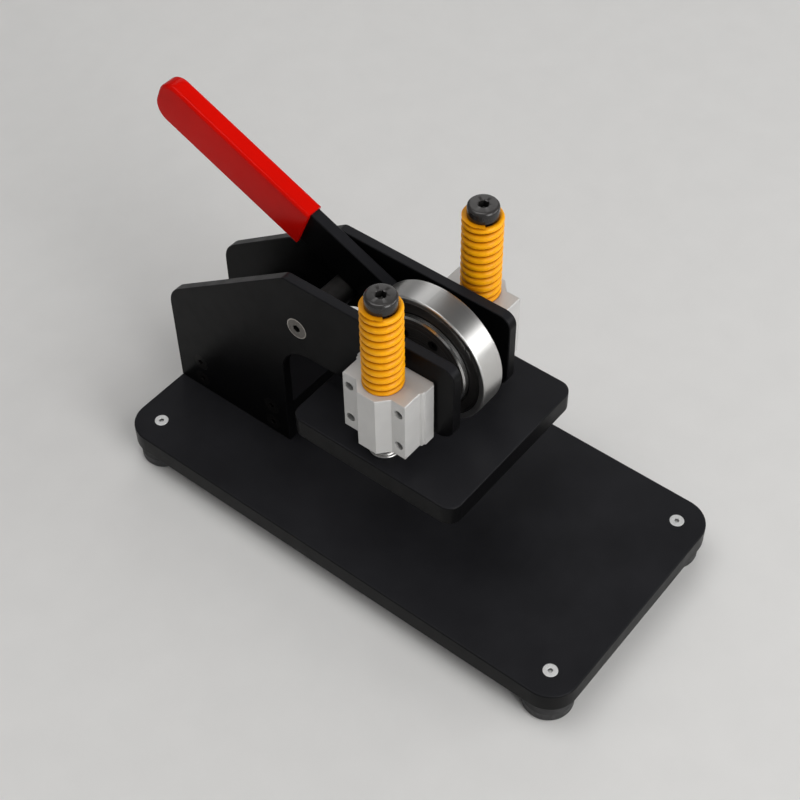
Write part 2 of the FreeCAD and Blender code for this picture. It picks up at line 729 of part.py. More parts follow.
def build_grip():
    """A sleeve over the end of the bar, thinner beside the plate; the bar cuts its inside."""
    body = new_body("grip_blank")
    low, high = "arm_low - grip_wall", "arm_high + grip_wall"
    outer = new_sketch(body, "YZ_Plane", "grip_left")
    add_rectangle(outer, "grip_start", low, "arm_reach + grip_wall", high)
    pad(body, outer, "grip_right - grip_left")
    for edge in (low, high):
        corner = along(0, "arm_reach + grip_wall", edge)
        dress(body, "Fillet", corner, "arm_end_round + grip_wall")
    start = value("grip_start")
    faces = on_level(0, ["grip_left", "grip_right"])
    dress(body, "Fillet",
          lambda edge: faces(edge) and edge.BoundBox.YMax > start + 0.01, "grip_round")
    put_on_lever(body)
    sleeve = doc.addObject("Part::Cut", "lever_grip")
    sleeve.Base = body
    sleeve.Tool = nodes["lever_arm"]
    doc.recompute()
    keep("lever_grip", sleeve)


def build_hub():
    """A disc with its pivot bore off centre, so that turning it lowers the bearing."""
    body = new_body("eccentric_hub")
    seat = new_sketch(body, "YZ_Plane", "-half_bearing")
    add_circle(seat, "hub_y", "hub_z", "bearing_bore - 2 * fit_gap")
    pad(body, seat, "bearing_width + hub_shoulder")
    shoulder = new_sketch(body, "YZ_Plane", "half_bearing")
    add_circle(shoulder, "hub_y", "hub_z", "hub_shoulder_d")
    pad(body, shoulder, "hub_shoulder")
    bore = new_sketch(body, "YZ_Plane")
    add_circle(bore, "0", "0", "bush_d")
    pocket(body, bore)
    taps = new_sketch(body, "YZ_Plane", "arm_left")
    for back, up in hub_screw_places():
        add_circle(taps, back, up, "small_screw_d + 2 * fit_gap")
    pocket(body, taps, "hub_screw_grip + tip_gap")
    near_taps = new_sketch(body, "YZ_Plane", "-half_bearing")
    for back, up in keeper_screw_places():
        add_circle(near_taps, back, up, "small_screw_d + 2 * fit_gap")
    pocket(body, near_taps, "keeper_screw_length - keeper_thick + tip_gap", upward=True)
    put_on_lever(body)
    keep("eccentric_hub", body)

    keeper = new_body("keeper_flange")
    disc = new_sketch(keeper, "YZ_Plane", "keeper_left")
    add_circle(disc, "hub_y", "hub_z", "keeper_d")
    pad(keeper, disc, "keeper_thick")
    dress(keeper, "Chamfer", on_level(0, ["keeper_left"]), "keeper_edge")
    holes = new_sketch(keeper, "YZ_Plane")
    add_circle(holes, "0", "0", "shaft_d + 2 * side_gap")
    for back, up in keeper_screw_places():
        add_circle(holes, back, up, "small_screw_d + 2 * fit_gap")
    pocket(keeper, holes)
    rims = on_level(0, ["keeper_left"])
    narrow = value("small_screw_d + 2 * fit_gap") / 2
    dress(keeper, "Chamfer",
          lambda edge: rims(edge) and len(edge.Vertexes) == 1
          and abs(edge.Curve.Radius - narrow) < 0.01,
          "(small_head_d - small_screw_d) / 2")
    put_on_lever(keeper)
    keep("keeper_flange", keeper)

    flat = screw_pattern("keeper_screw", "small_screw_d", "small_head_d", "fit_gap",
                         "keeper_screw_length", "small_socket", "countersunk")
    put_on_lever(copies("keeper_screws", flat, [
        ("keeper_left", back, up) for back, up in keeper_screw_places()], (-1, 0, 0)))
    reach = "arm_thick - small_head - head_gap + hub_screw_grip"
    cap = screw_pattern("hub_screw", "small_screw_d", "small_head_d", "small_head",
                        reach, "small_socket")
    put_on_lever(copies("hub_screws", cap, [
        ("arm_right - head_gap", back, up) for back, up in hub_screw_places()], (1, 0, 0)))

    middle = "(arm_right - half_bearing) / 2"
    spans = {"left": ("-half_bearing", f"{middle} - bush_space / 2"),
             "right": (f"{middle} + bush_space / 2", "arm_right")}
    for name, (low, high) in spans.items():
        bush = ring(f"{name}_pivot_bush", "bush_d", "shaft_d + 2 * fit_gap",
                    low, high, "H_Axis")
        put_on_lever(bush)
        keep(bush.Label, bush)


def bearing_ring(name, outer, inner, edged):
    """A bearing ring turned about X, with its rolling groove and broken edges."""
    body = ring(name, outer, inner, "-half_bearing", "half_bearing", "H_Axis")
    groove = new_sketch(body, "XZ_Plane")
    add_circle(groove, "0", "race_d / 2", "2 * race_gap")
    turn(body, groove, "H_Axis", "Groove")
    faces = on_level(0, ["-half_bearing", "half_bearing"])
    radius = value(edged) / 2
    dress(body, "Fillet",
          lambda edge: faces(edge) and abs(edge.Curve.Radius - radius) < 0.01,
          "bearing_edge")
    return body


def build_bearing():
    inner = bearing_ring("bearing_inner_ring", "inner_land_d", "bearing_bore", "bearing_bore")
    put_on_roller(inner)
    keep("bearing_inner_ring", inner)

    outer = bearing_ring("bearing_outer_ring", "bearing_d", "outer_land_d", "bearing_d")
    depth = "seal_thick + seal_sink"
    for side in (LEFT, RIGHT):
        recess = new_sketch(outer, "XZ_Plane")
        low, high = f"{side} * half_bearing", f"{side} * (half_bearing - ({depth}))"
        add_rectangle(recess, low, "outer_land_d / 2 - side_gap", high, "seal_d / 2")
        turn(outer, recess, "H_Axis", "Groove")
    put_on_roller(outer)
    keep("bearing_outer_ring", outer)

    for name, side in SIDES:
        shallow = f"{side} * (half_bearing - seal_sink)"
        deep = f"{side} * (half_bearing - ({depth}))"
        seal = ring(f"{name}_bearing_seal", "seal_d - 2 * fit_gap", "inner_land_d + 2 * seal_play",
                    shallow, deep, "H_Axis")
        put_on_roller(seal)
        keep(seal.Label, seal)

    cage = ring("bearing_cage", "race_d + cage_wall", "race_d - cage_wall",
                "-cage_width / 2", "cage_width / 2", "H_Axis")
    window = new_sketch(cage, "XY_Plane")
    add_circle(window, "0", "0", "2 * race_gap")
    pocket(cage, window, "race_d", upward=True)
    pattern = cage.newObject("PartDesign::PolarPattern", "Windows")
    pattern.Originals = [cage.Tip]
    axis = next(item for item in cage.Origin.OriginFeatures if item.Role == "X_Axis")
    pattern.Axis = (axis, [""])
    pattern.Angle = 360
    bind(pattern, "Occurrences", "ball_count")
    cage.Tip = pattern
    doc.recompute()
    put_on_roller(cage)
    keep("bearing_cage", cage)

    ball = doc.addObject("Part::Sphere", "ball")
    bind(ball, "Radius", "ball_d / 2")
    spread = [f"360 / ball_count * {index}" for index in range(int(value("ball_count")))]
    put_on_roller(copies("bearing_balls", ball, [
        ("0", f"-race_d / 2 * sin({turned})", f"race_d / 2 * cos({turned})")
        for turned in spread]))


def arc_between(start, end, control):
    """The arc from start to end whose tangents meet at the control point."""
    half_chord = (end - start).Length / 2
    middle = (start + end) * 0.5
    toward = control - middle
    lean = math.acos(half_chord / (control - start).Length)
    radius = half_chord / math.sin(lean)
    sag = radius * (1 - math.cos(lean))
    return Part.Arc(start, middle + toward * (sag / toward.Length), end).toShape()


def biarc(start, heading, end, leaving):
    """Two tangent arcs from one point and direction to the next."""
    span = end - start
    both = heading + leaving
    square = both.dot(both) - 4
    slope = -2 * span.dot(both)
    root = math.sqrt(slope * slope - 4 * square * span.dot(span))
    reach = max((-slope - root) / (2 * square), (-slope + root) / (2 * square))
    first, second = start + heading * reach, end - leaving * reach
    joint = (first + second) * 0.5
    return [arc_between(start, joint, first), arc_between(joint, end, second)]


def spring_rise(turned):
    """Height of the wire's middle above the seat after so many turns."""
    wire, ends, turns = value("spring_wire"), value("spring_end_turns"), value("spring_turns")
    closed = wire + value("spring_end_gap")
    free = value("spring_length - 2 * spring_seat_gap") - wire
    open_pitch = (free - 2 * ends * closed) / (turns - 2 * ends)
    start = wire / 2 + value("spring_seat_gap")
    inner = min(max(turned - ends, 0), turns - 2 * ends)
    return start + closed * (turned - inner) + open_pitch * inner


def spring_point(turned):
    radius = value("spring_d - spring_wire") / 2
    angle = 2 * math.pi * turned
    return VECTOR(radius * math.cos(angle), radius * math.sin(angle), spring_rise(turned))


def spring_heading(turned):
    step = 0.01
    return (spring_point(turned + step) - spring_point(turned - step)).normalize()


def least_gap(points, wire, per_turn):
    """The least clear space between turns, measured on points of the wire's middle."""
    near = [(first - second).Length
            for index, first in enumerate(points)
            for second in points[index + per_turn // 2:index + 2 * per_turn]]
    return min(near) - wire


def build_springs():
    """One unbroken wire for each spring, with closed end turns and open turns between."""
    turns, wire = value("spring_turns"), value("spring_wire")
    steps = int(round(2 * turns))
    per_turn = 48
    for name, side in SIDES:
        stations = [turns * index / steps for index in range(steps + 1)]
        path = []
        for low, high in zip(stations, stations[1:]):
            path += biarc(spring_point(low), spring_heading(low),
                          spring_point(high), spring_heading(high))
        spine = Part.Wire(path)
        section = Part.Circle(spring_point(0), spring_heading(0), wire / 2)
        sweep = Part.BRepOffsetAPI.MakePipeShell(spine)
        sweep.add(Part.Wire([section.toShape()]))
        sweep.build()
        sweep.makeSolid()
        spring = doc.addObject("Part::Feature", f"{name}_spring")
        spring.Shape = sweep.shape()
        put(spring, f"{side} * post_x", "post_y", "block_top")
        keep(f"{name}_spring", spring)
        samples = [spring_point(index / per_turn) for index in range(int(turns * per_turn))]
        print(f"{name}_spring: least gap {least_gap(samples, wire, per_turn):.2f} mm, volume "
              f"{spring.Shape.Volume:.0f} of {math.pi * wire ** 2 / 4 * spine.Length:.0f} mm3")


def check_model():
    """Stops before anything is written if a feature failed or a piece is not sound."""
    for item in doc.Objects:
        if "Invalid" in item.State or "Error" in item.State:
            raise RuntimeError(f"{item.Label} failed: {item.State}")
    for name, thing in nodes.items():
        if thing.Shape.isNull() or not thing.Shape.isValid() or not thing.Shape.Solids:
            raise RuntimeError(f"{name} has no sound shape")


def export_parts():
    os.makedirs("parts", exist_ok=True)
    for name, thing in nodes.items():
        thing.Shape.exportStep(f"parts/{name}.step")
    print(f"{len(nodes)} nodes written")


ALIASES = {alias for entries in SIZES.values() for alias in entries}
fill_sheet()
build_base_plate()
build_feet()
build_foot_fasteners()
build_side_plates()
build_foot_block()
build_tie_rod()
build_pivot()
build_bearing_blocks()
build_posts()
build_pressure_plate()
build_lever()
build_grip()
build_hub()
build_bearing()
build_springs()
doc.recompute()
check_model()
export_parts()
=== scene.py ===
"""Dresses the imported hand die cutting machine: coatings, metals, springs, grip, feet and studio.

The frame is in metres. Sizes written here are in millimetres, as a maker gives them.
"""
import json
import math

import bmesh
import bpy
from bpy.props import FloatProperty, FloatVectorProperty, IntProperty, PointerProperty
from mathutils import Matrix, Vector


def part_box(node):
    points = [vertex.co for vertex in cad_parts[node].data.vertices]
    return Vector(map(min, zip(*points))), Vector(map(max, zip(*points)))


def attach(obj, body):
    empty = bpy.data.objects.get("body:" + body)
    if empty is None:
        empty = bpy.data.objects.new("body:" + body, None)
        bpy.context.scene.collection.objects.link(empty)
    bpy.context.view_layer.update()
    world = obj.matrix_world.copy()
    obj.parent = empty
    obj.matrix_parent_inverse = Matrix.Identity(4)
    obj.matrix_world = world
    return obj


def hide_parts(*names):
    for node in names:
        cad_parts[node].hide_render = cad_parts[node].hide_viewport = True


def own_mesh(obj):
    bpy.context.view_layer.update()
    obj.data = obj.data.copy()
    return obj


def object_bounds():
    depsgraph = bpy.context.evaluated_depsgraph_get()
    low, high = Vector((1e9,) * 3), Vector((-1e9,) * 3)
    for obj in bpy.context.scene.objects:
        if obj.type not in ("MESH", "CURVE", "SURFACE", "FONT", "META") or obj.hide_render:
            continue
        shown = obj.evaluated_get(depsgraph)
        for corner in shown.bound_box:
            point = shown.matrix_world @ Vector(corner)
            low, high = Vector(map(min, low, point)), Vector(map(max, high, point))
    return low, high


bl_info = {
    "name": "Hand die cutting machine",
    "version": (1, 0, 0),
    "blender": (4, 5, 0),
    "location": "View3D > Sidebar > Die cutter",
    "description": "Finishes, springs, grip, rubber parts and studio of a die cutting machine",
    "category": "Object",
}

MM = 0.001
SIDES = (("left", -1), ("right", 1))
# The colour sockets of a Mix node share their names with others, so they are taken by number.
MIX_A, MIX_B, MIX_RESULT = 6, 7, 2
# Most of a noise texture's values lie between these two.
NOISE_LOW, NOISE_HIGH = 0.3, 0.7
# Half the width of the floor, in millimetres.
FLOOR_HALF = 5000

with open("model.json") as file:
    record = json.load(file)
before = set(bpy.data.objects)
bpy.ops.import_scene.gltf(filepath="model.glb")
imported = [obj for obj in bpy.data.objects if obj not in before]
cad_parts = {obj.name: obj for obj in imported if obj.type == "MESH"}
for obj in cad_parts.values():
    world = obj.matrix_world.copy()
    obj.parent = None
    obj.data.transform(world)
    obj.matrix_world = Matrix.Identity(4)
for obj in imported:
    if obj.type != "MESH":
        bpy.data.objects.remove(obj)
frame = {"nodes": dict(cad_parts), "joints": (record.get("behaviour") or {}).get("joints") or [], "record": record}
cad_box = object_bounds()


def linear(hex_colour):
    """An sRGB hex colour as linear red, green and blue."""
    channels = (int(hex_colour[index:index + 2], 16) / 255 for index in (0, 2, 4))
    return tuple(c / 12.92 if c <= 0.04045 else ((c + 0.055) / 1.055) ** 2.4 for c in channels)


def opaque(colour):
    return (*colour, 1.0)


def shaded(colour, share):
    """The colour with its brightness multiplied by that share."""
    return (*(min(1.0, channel * share) for channel in colour), 1.0)


def add(tree, kind, settings=None, inputs=None):
    """A new shader node with its settings; each input is a value or the output that feeds it."""
    made = tree.nodes.new(f"ShaderNode{kind}")
    for name, setting in (settings or {}).items():
        setattr(made, name, setting)
    for name, feed in (inputs or {}).items():
        if isinstance(feed, bpy.types.NodeSocket):
            tree.links.new(feed, made.inputs[name])
        else:
            made.inputs[name].default_value = feed
    return made


def new_finish(name, **values):
    """A material whose plain values sit on the shader's own sockets."""
    material = bpy.data.materials.new(name)
    material.use_nodes = True
    tree = material.node_tree
    shader = tree.nodes["Principled BSDF"]
    for key, number in values.items():
        shader.inputs[key.replace("_", " ")].default_value = number
    return material, tree, shader


def grain(tree, size, stretch=(1, 1, 1), detail=3.0):
    """Noise with cells about size millimetres across, drawn out by stretch along each axis."""
    place = add(tree, "TexCoord")
    scaled = add(tree, "Mapping", inputs={
        "Vector": place.outputs["Object"], "Scale": [1 / share for share in stretch]})
    return add(tree, "TexNoise", inputs={
        "Vector": scaled.outputs[0], "Scale": 1 / (size * MM), "Detail": detail}).outputs["Fac"]


def tool_marks(tree, size, centre, axis):
    """Fine rings round an axis through centre, as a lathe or grinder leaves, and their radius.

    Pieces on the left and right share one material, so an upright axis counts for both.
    """
    along, across, up = {"X": (0, 1, 2), "Z": (2, 0, 1)}[axis]
    place = add(tree, "TexCoord")
    sides = add(tree, "SeparateXYZ", inputs={0: place.outputs["Object"]})
    crossing = sides.outputs[across]
    if axis == "Z":
        crossing = add(tree, "Math", {"operation": "ABSOLUTE"}, {0: crossing}).outputs[0]
    first = add(tree, "Math", {"operation": "SUBTRACT"}, {0: crossing, 1: centre[across]})
    second = add(tree, "Math", {"operation": "SUBTRACT"},
                 {0: sides.outputs[up], 1: centre[up]})
    flat = add(tree, "CombineXYZ", inputs={0: first.outputs[0], 1: second.outputs[0]})
    radius = add(tree, "VectorMath", {"operation": "LENGTH"}, {0: flat.outputs[0]})
    rings = add(tree, "CombineXYZ", inputs={
        0: sides.outputs[along], 1: radius.outputs["Value"]})
    noise = add(tree, "TexNoise", inputs={
        "Vector": rings.outputs[0], "Scale": 1 / (size * MM), "Detail": 2.0})
    return noise.outputs["Fac"], radius.outputs["Value"]


def tint(tree, shader, pattern, low, high):
    """Base colour that wanders between two colours with a pattern."""
    ramp = add(tree, "ValToRGB", inputs={0: pattern})
    for stop, place, colour in zip(
            ramp.color_ramp.elements, (NOISE_LOW, NOISE_HIGH), (low, high)):
        stop.position, stop.color = place, colour
    tree.links.new(ramp.outputs[0], shader.inputs["Base Color"])
    return ramp.outputs[0]


def vary(tree, shader, socket, pattern, low, high):
    """A shader value that runs from low to high with a pattern."""
    spread = add(tree, "MapRange", inputs={
        "Value": pattern, "From Min": NOISE_LOW, "From Max": NOISE_HIGH,
        "To Min": low, "To Max": high})
    tree.links.new(spread.outputs[0], shader.inputs[socket])


def emboss(tree, shader, pattern, depth, edge=0.0):
    """Relief depth millimetres high that follows a pattern, over edges softened by edge."""
    bump = add(tree, "Bump", inputs={"Height": pattern, "Distance": depth * MM})
    if edge:
        soft = add(tree, "Bevel", {"samples": 4}, {"Radius": edge * MM})
        tree.links.new(soft.outputs[0], bump.inputs["Normal"])
    tree.links.new(bump.outputs[0], shader.inputs["Normal"])


def paint_gap_shade(tree, shader, reach, dark, closed=0.25, clear=0.6):
    """Paints shade into the base colour: dark in sockets and gaps about reach millimetres wide.

    Closed and clear are the shares of open sky up to which a face is quite dark, and from
    which it keeps its colour.
    """
    colour = shader.inputs["Base Color"].links[0].from_socket
    shade = add(tree, "AmbientOcclusion", {"samples": 8}, {"Distance": reach * MM})
    depth = add(tree, "MapRange", inputs={
        "Value": shade.outputs["AO"], "From Min": closed, "From Max": clear})
    mixed = add(tree, "Mix", {"data_type": "RGBA"}, {
        0: depth.outputs[0], MIX_A: dark, MIX_B: colour})
    tree.links.new(mixed.outputs[MIX_RESULT], shader.inputs["Base Color"])


def upward(tree, colour, start, full, low, high):
    """The colour, its brightness multiplied by low on walls and by high on faces that look up."""
    facing = add(tree, "SeparateXYZ", inputs={0: add(tree, "NewGeometry").outputs["Normal"]})
    share = add(tree, "MapRange", inputs={
        "Value": facing.outputs["Z"], "From Min": start, "From Max": full,
        "To Min": low, "To Max": high})
    return add(tree, "VectorMath", {"operation": "SCALE"},
               {0: colour, "Scale": share.outputs[0]}).outputs[0]


def bright_rim(tree, shader, radius, edge, colour, blur=0.05):
    """Gives the rim outside a radius of edge millimetres a colour, and returns its mask."""
    mask = add(tree, "MapRange", inputs={
        "Value": radius, "From Min": (edge - blur) * MM, "From Max": (edge + blur) * MM})
    inside = shader.inputs["Base Color"].links[0].from_socket
    mixed = add(tree, "Mix", {"data_type": "RGBA"}, {
        0: mask.outputs[0], MIX_A: inside, MIX_B: colour})
    tree.links.new(mixed.outputs[MIX_RESULT], shader.inputs["Base Color"])
    return mask.outputs[0]


def nodes_of(slot):
    return [part["node"] for part in frame["record"]["subparts"]
            if part["material_slot"] == slot]


def coat(names, material):
    """Gives each of these CAD nodes the material."""
    for name in names:
        mesh = frame["nodes"][name].data
        mesh.materials.clear()
        mesh.materials.append(material)


def piece(name, points, faces, material, sharp=40):
    """A mesh in the frame's own place, from points in millimetres."""
    mesh = bpy.data.meshes.new(name)
    mesh.from_pydata([Vector(point) * MM for point in points], [], faces)
    work = bmesh.new()
    work.from_mesh(mesh)
    bmesh.ops.remove_doubles(work, verts=work.verts, dist=1e-6)
    bmesh.ops.dissolve_degenerate(work, edges=work.edges, dist=1e-7)
    bmesh.ops.recalc_face_normals(work, faces=work.faces)
    work.to_mesh(mesh)
    work.free()
    mesh.materials.append(material)
    mesh.shade_smooth()
    mesh.set_sharp_from_angle(angle=math.radians(sharp))
    made = bpy.data.objects.new(name, mesh)
    bpy.context.scene.collection.objects.link(made)
    return made


def stand_in(made, body, slot, *nodes):
    """The piece rides on the body and stands for the CAD nodes. The slot is not used."""
    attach(made, body)
    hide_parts(*nodes)


def turned(profile, centre, axis, steps=96, hexagon=()):
    """Points and faces of a closed profile of (radius, level) turned round an axis.

    The profile's points that hexagon numbers lie on a hexagon's flats instead of a circle.
    """
    points, faces, count = [], [], len(profile)
    for step in range(steps):
        angle = 2 * math.pi * step / steps
        c, s = math.cos(angle), math.sin(angle)
        flat = math.cos((angle + math.pi / 6) % (math.pi / 3) - math.pi / 6)
        for number, (radius, level) in enumerate(profile):
            radius /= flat if number in hexagon else 1
            offset = (level, radius * c, radius * s) if axis == "X" else (
                radius * c, radius * s, level)
            points.append(Vector(centre) + Vector(offset))
    for step in range(steps):
        here, there = step * count, (step + 1) % steps * count
        for index in range(count):
            after = (index + 1) % count
            faces.append((here + index, here + after, there + after, there + index))
    return points, faces


def rounded(centre, radius, start, end, steps=6):
    """Points on an arc in the profile's plane, from one angle to another in degrees."""
    return [(centre[0] + radius * math.cos(math.radians(start + (end - start) * n / steps)),
             centre[1] + radius * math.sin(math.radians(start + (end - start) * n / steps)))
            for n in range(steps + 1)]


class CoatingSettings(bpy.types.PropertyGroup):
    """Colours and gloss of the painted, coated and blackened steel."""
    plate: FloatVectorProperty(
        name="Plate", description="Satin black of the plates and the lever bar",
        subtype="COLOR", default=linear("080809"), min=0, max=1)
    plate_gloss: FloatProperty(
        name="Plate gloss", description="Strength of the reflection, half is common plastic",
        subtype="FACTOR", default=0.075, min=0, max=1)
    # Painted sheen with settled dust: how many times paler upward faces and painted edge highlights are.
    plate_dust_and_sheen: FloatProperty(
        name="Plate dust", description="How many times paler upward faces and worn edges are",
        default=6.3, min=1, max=20)
    plate_roughness: FloatProperty(
        name="Plate roughness", description="Low is glossy, high is matt",
        subtype="FACTOR", default=0.34, min=0, max=1)
    black_oxide: FloatVectorProperty(
        name="Black oxide", description="Blackened steel of posts and screws",
        subtype="COLOR", default=linear("403E3D"), min=0, max=1)
    # The edge that this radius reaches is painted paler, a painted highlight.
    edge_round: FloatProperty(
        name="Edge radius", description="How far the worn edge reaches from a corner",
        subtype="DISTANCE", unit="LENGTH", default=0.0006, min=0, max=0.005)


class MetalSettings(bpy.types.PropertyGroup):
    """Colours of the bare metals."""
    aluminium: FloatVectorProperty(
        name="Aluminium", description="Clear anodised bearing blocks",
        subtype="COLOR", default=linear("C8C7C5"), min=0, max=1)
    ground_steel: FloatVectorProperty(
        name="Ground steel", description="Bearing rings and the pivot shaft",
        subtype="COLOR", default=linear("C6C5C3"), min=0, max=1)
    turned_steel: FloatVectorProperty(
        name="Turned steel", description="Collars on the guide posts",
        subtype="COLOR", default=linear("D2D1CF"), min=0, max=1)
    stainless: FloatVectorProperty(
        name="Stainless", description="Screws of the tie rod",
        subtype="COLOR", default=linear("6C6965"), min=0, max=1)
    zinc: FloatVectorProperty(
        name="Zinc plate", description="Bright screws, washers and nuts",
        subtype="COLOR", default=linear("F0F0EF"), min=0, max=1)
    bronze: FloatVectorProperty(
        name="Bronze", description="Bushes on the pivot shaft",
        subtype="COLOR", default=linear("B48A57"), min=0, max=1)


class SpringSettings(bpy.types.PropertyGroup):
    """Shape and colour of the two die springs."""
    outer_d: FloatProperty(name="Outside diameter", description="Across the coils, mm",
                           default=25.4, min=10, max=60)
    wire_wide: FloatProperty(name="Wire width", description="Wire across the coil, mm",
                             default=4.2, min=1, max=10)
    wire_high: FloatProperty(name="Wire height", description="Wire along the spring, mm",
                             default=5.1, min=1, max=10)
    wire_square: FloatProperty(
        name="Wire squareness", description="1 is an ellipse, near 0 is a rectangle",
        default=1.0, min=0.1, max=1)
    turns: FloatProperty(name="Turns", description="All turns, with the closed ends",
                         default=11.5, min=4, max=30)
    tip: FloatProperty(name="Tip", description="Where the wire starts on top, from the right",
                       subtype="ANGLE", unit="ROTATION", default=math.radians(223))
    ground_off: FloatProperty(
        name="Ground off", description="Of the end turn's middle, past the ground face, mm",
        default=1.3, min=0, max=2)
    closed_pitch: FloatProperty(
        name="Closed pitch", description="Of the end turns, whose wire is pressed thinner, mm",
        default=4.25, min=1, max=10)
    least_gap: FloatProperty(name="Least gap", description="Between neighbouring turns, mm",
                             default=0.15, min=0.01, max=2)
    steps: IntProperty(name="Steps", description="Sections in one turn",
                       default=72, min=12, max=200)
    colour: FloatVectorProperty(
        name="Paint", description="Amber enamel of the springs",
        subtype="COLOR", default=linear("F5A90A"), min=0, max=1)
    # Painted shade between the coils, the colour that the gaps darken to; the enamel is not thicker there.
    shade: FloatVectorProperty(
        name="Between coils", description="Deeper amber where the enamel lies thick",
        subtype="COLOR", default=linear("BC6A04"), min=0, max=1)


class GripSettings(bpy.types.PropertyGroup):
    """The dipped sleeve on the lever, and where the lever bar lies under it."""
    lever_angle: FloatProperty(
        name="Lever angle", description="Rise of the lever at rest",
        subtype="ANGLE", unit="ROTATION", default=math.radians(23.6))
    start: FloatProperty(name="Start", description="From the pivot along the bar, mm",
                         default=112.0, min=50, max=200)
    reach: FloatProperty(name="Reach", description="End of the sleeve from the pivot, mm",
                         default=238.1, min=150, max=400)
    low: FloatProperty(name="Under side", description="Below the pivot's line, mm",
                       default=-23.0)
    high: FloatProperty(name="Upper side", description="Above the pivot's line, mm",
                        default=8.8)
    wall: FloatProperty(name="Wall", description="Over, under and past the bar, mm",
                        default=1.9, min=0.3, max=4)
    end_round: FloatProperty(name="End radius", description="Corners of the free end, mm",
                             default=11.9, min=1, max=14)
    edge_round: FloatProperty(name="Edge radius", description="Long edges, mm",
                              default=2.5, min=0.5, max=5)
    colour: FloatVectorProperty(
        name="Vinyl", description="Red of the dipped sleeve",
        subtype="COLOR", default=linear("CE0D05"), min=0, max=1)


class RubberSettings(bpy.types.PropertyGroup):
    """Shape of the feet and colours of the rubber and plastic."""
    foot_d: FloatProperty(name="Foot diameter", description="Across the foot, mm",
                          default=33.0, min=10, max=80)
    foot_round: FloatProperty(name="Foot radius", description="Lower rim, mm",
                              default=3.0, min=0.5, max=8)
    rib_count: IntProperty(name="Ribs", description="Rings under the foot that keep it still",
                           default=3, min=0, max=6)
    foot: FloatVectorProperty(name="Foot rubber", description="Black of the feet",
                              subtype="COLOR", default=linear("1D1D1E"), min=0, max=1)
    seal: FloatVectorProperty(name="Seal rubber", description="Black of the bearing seals",
                              subtype="COLOR", default=linear("131110"), min=0, max=1)
    cage: FloatVectorProperty(name="Cage nylon", description="Natural nylon of the ball cage",
                              subtype="COLOR", default=linear("CFC5A8"), min=0, max=1)


class StudioSettings(bpy.types.PropertyGroup):
    """Camera, floor and soft light."""
    azimuth: FloatProperty(name="Azimuth", description="Camera's turn about the machine",
                           subtype="ANGLE", unit="ROTATION", default=math.radians(-50.794))
    elevation: FloatProperty(name="Elevation", description="Camera above the horizon",
                             subtype="ANGLE", unit="ROTATION", default=math.radians(48.191))
    roll: FloatProperty(name="Roll", description="Camera's tilt about its own axis",
                        subtype="ANGLE", unit="ROTATION", default=math.radians(-1.018))
    distance: FloatProperty(name="Distance", description="From camera to target",
                            subtype="DISTANCE", unit="LENGTH", default=1.0265, min=0.2)
    target: FloatVectorProperty(name="Target", description="Point the camera looks at",
                                subtype="TRANSLATION", unit="LENGTH",
                                default=(0.01555, 0.02149, 0.03991))
    lens: FloatProperty(name="Lens", description="Focal length for a 36 mm sensor",
                        subtype="DISTANCE_CAMERA", unit="CAMERA", default=70.61, min=10)
    floor: FloatVectorProperty(name="Floor", description="Pale floor",
                               subtype="COLOR", default=linear("DCDBD9"), min=0, max=1)
    light: FloatProperty(name="Light", description="Brightness of all the lamps",
                         default=1.0, min=0, max=10)


class DIECUTTER_OT_coat_plates(bpy.types.Operator):
    """Coat the base, side plates, pressure plate and lever bar satin black"""
    bl_idname = "diecutter.coat_plates"
    bl_label = "Coat plates"

    def execute(self, context):
        chosen = context.scene.diecutter_coating
        # Black electrophoretic paint on steel, dipped and baked: smooth satin, faintly clouded, with a fine orange
        # peel. Its cells are 0.7 mm, so they just show close by. Faces that look up are paler, with settled dust
        # and a painted sheen, and the edges are paler with a painted highlight.
        material, tree, shader = new_finish("baked_black_dip_paint", IOR=1.5,
                                            Specular_IOR_Level=chosen.plate_gloss)
        clouds = grain(tree, 45)
        body = tint(tree, shader, clouds, shaded(chosen.plate, 0.85), shaded(chosen.plate, 1.15))
        body = upward(tree, body, start=0.3, full=0.97, low=1.0, high=chosen.plate_dust_and_sheen)
        # Where a rounded normal turns away from the face's own, the edge is painted paler as a painted highlight:
        # between these two cosines, up to this share.
        start_cosine, full_cosine, edge_sheen_share = 0.98, 0.9, 0.55
        bevel_normal = add(tree, "Bevel", {"samples": 4}, {"Radius": chosen.edge_round})
        flat = add(tree, "NewGeometry")
        agreement = add(tree, "VectorMath", {"operation": "DOT_PRODUCT"},
                        {0: bevel_normal.outputs[0], 1: flat.outputs["Normal"]})
        edge = add(tree, "MapRange", inputs={
            "Value": agreement.outputs["Value"],
            "From Min": start_cosine, "From Max": full_cosine,
            "To Min": 0.0, "To Max": edge_sheen_share})
        edge_sheen = add(tree, "Mix", {"data_type": "RGBA"}, {
            0: edge.outputs[0], MIX_A: body, MIX_B: shaded(chosen.plate, chosen.plate_dust_and_sheen)})
        tree.links.new(edge_sheen.outputs[MIX_RESULT], shader.inputs["Base Color"])
        vary(tree, shader, "Roughness", grain(tree, 9),
             chosen.plate_roughness - 0.04, chosen.plate_roughness + 0.05)
        emboss(tree, shader, grain(tree, 0.7, detail=1.0), 0.004, edge=0.7)
        coat(nodes_of("coated_plate"), material)
        return {"FINISHED"}


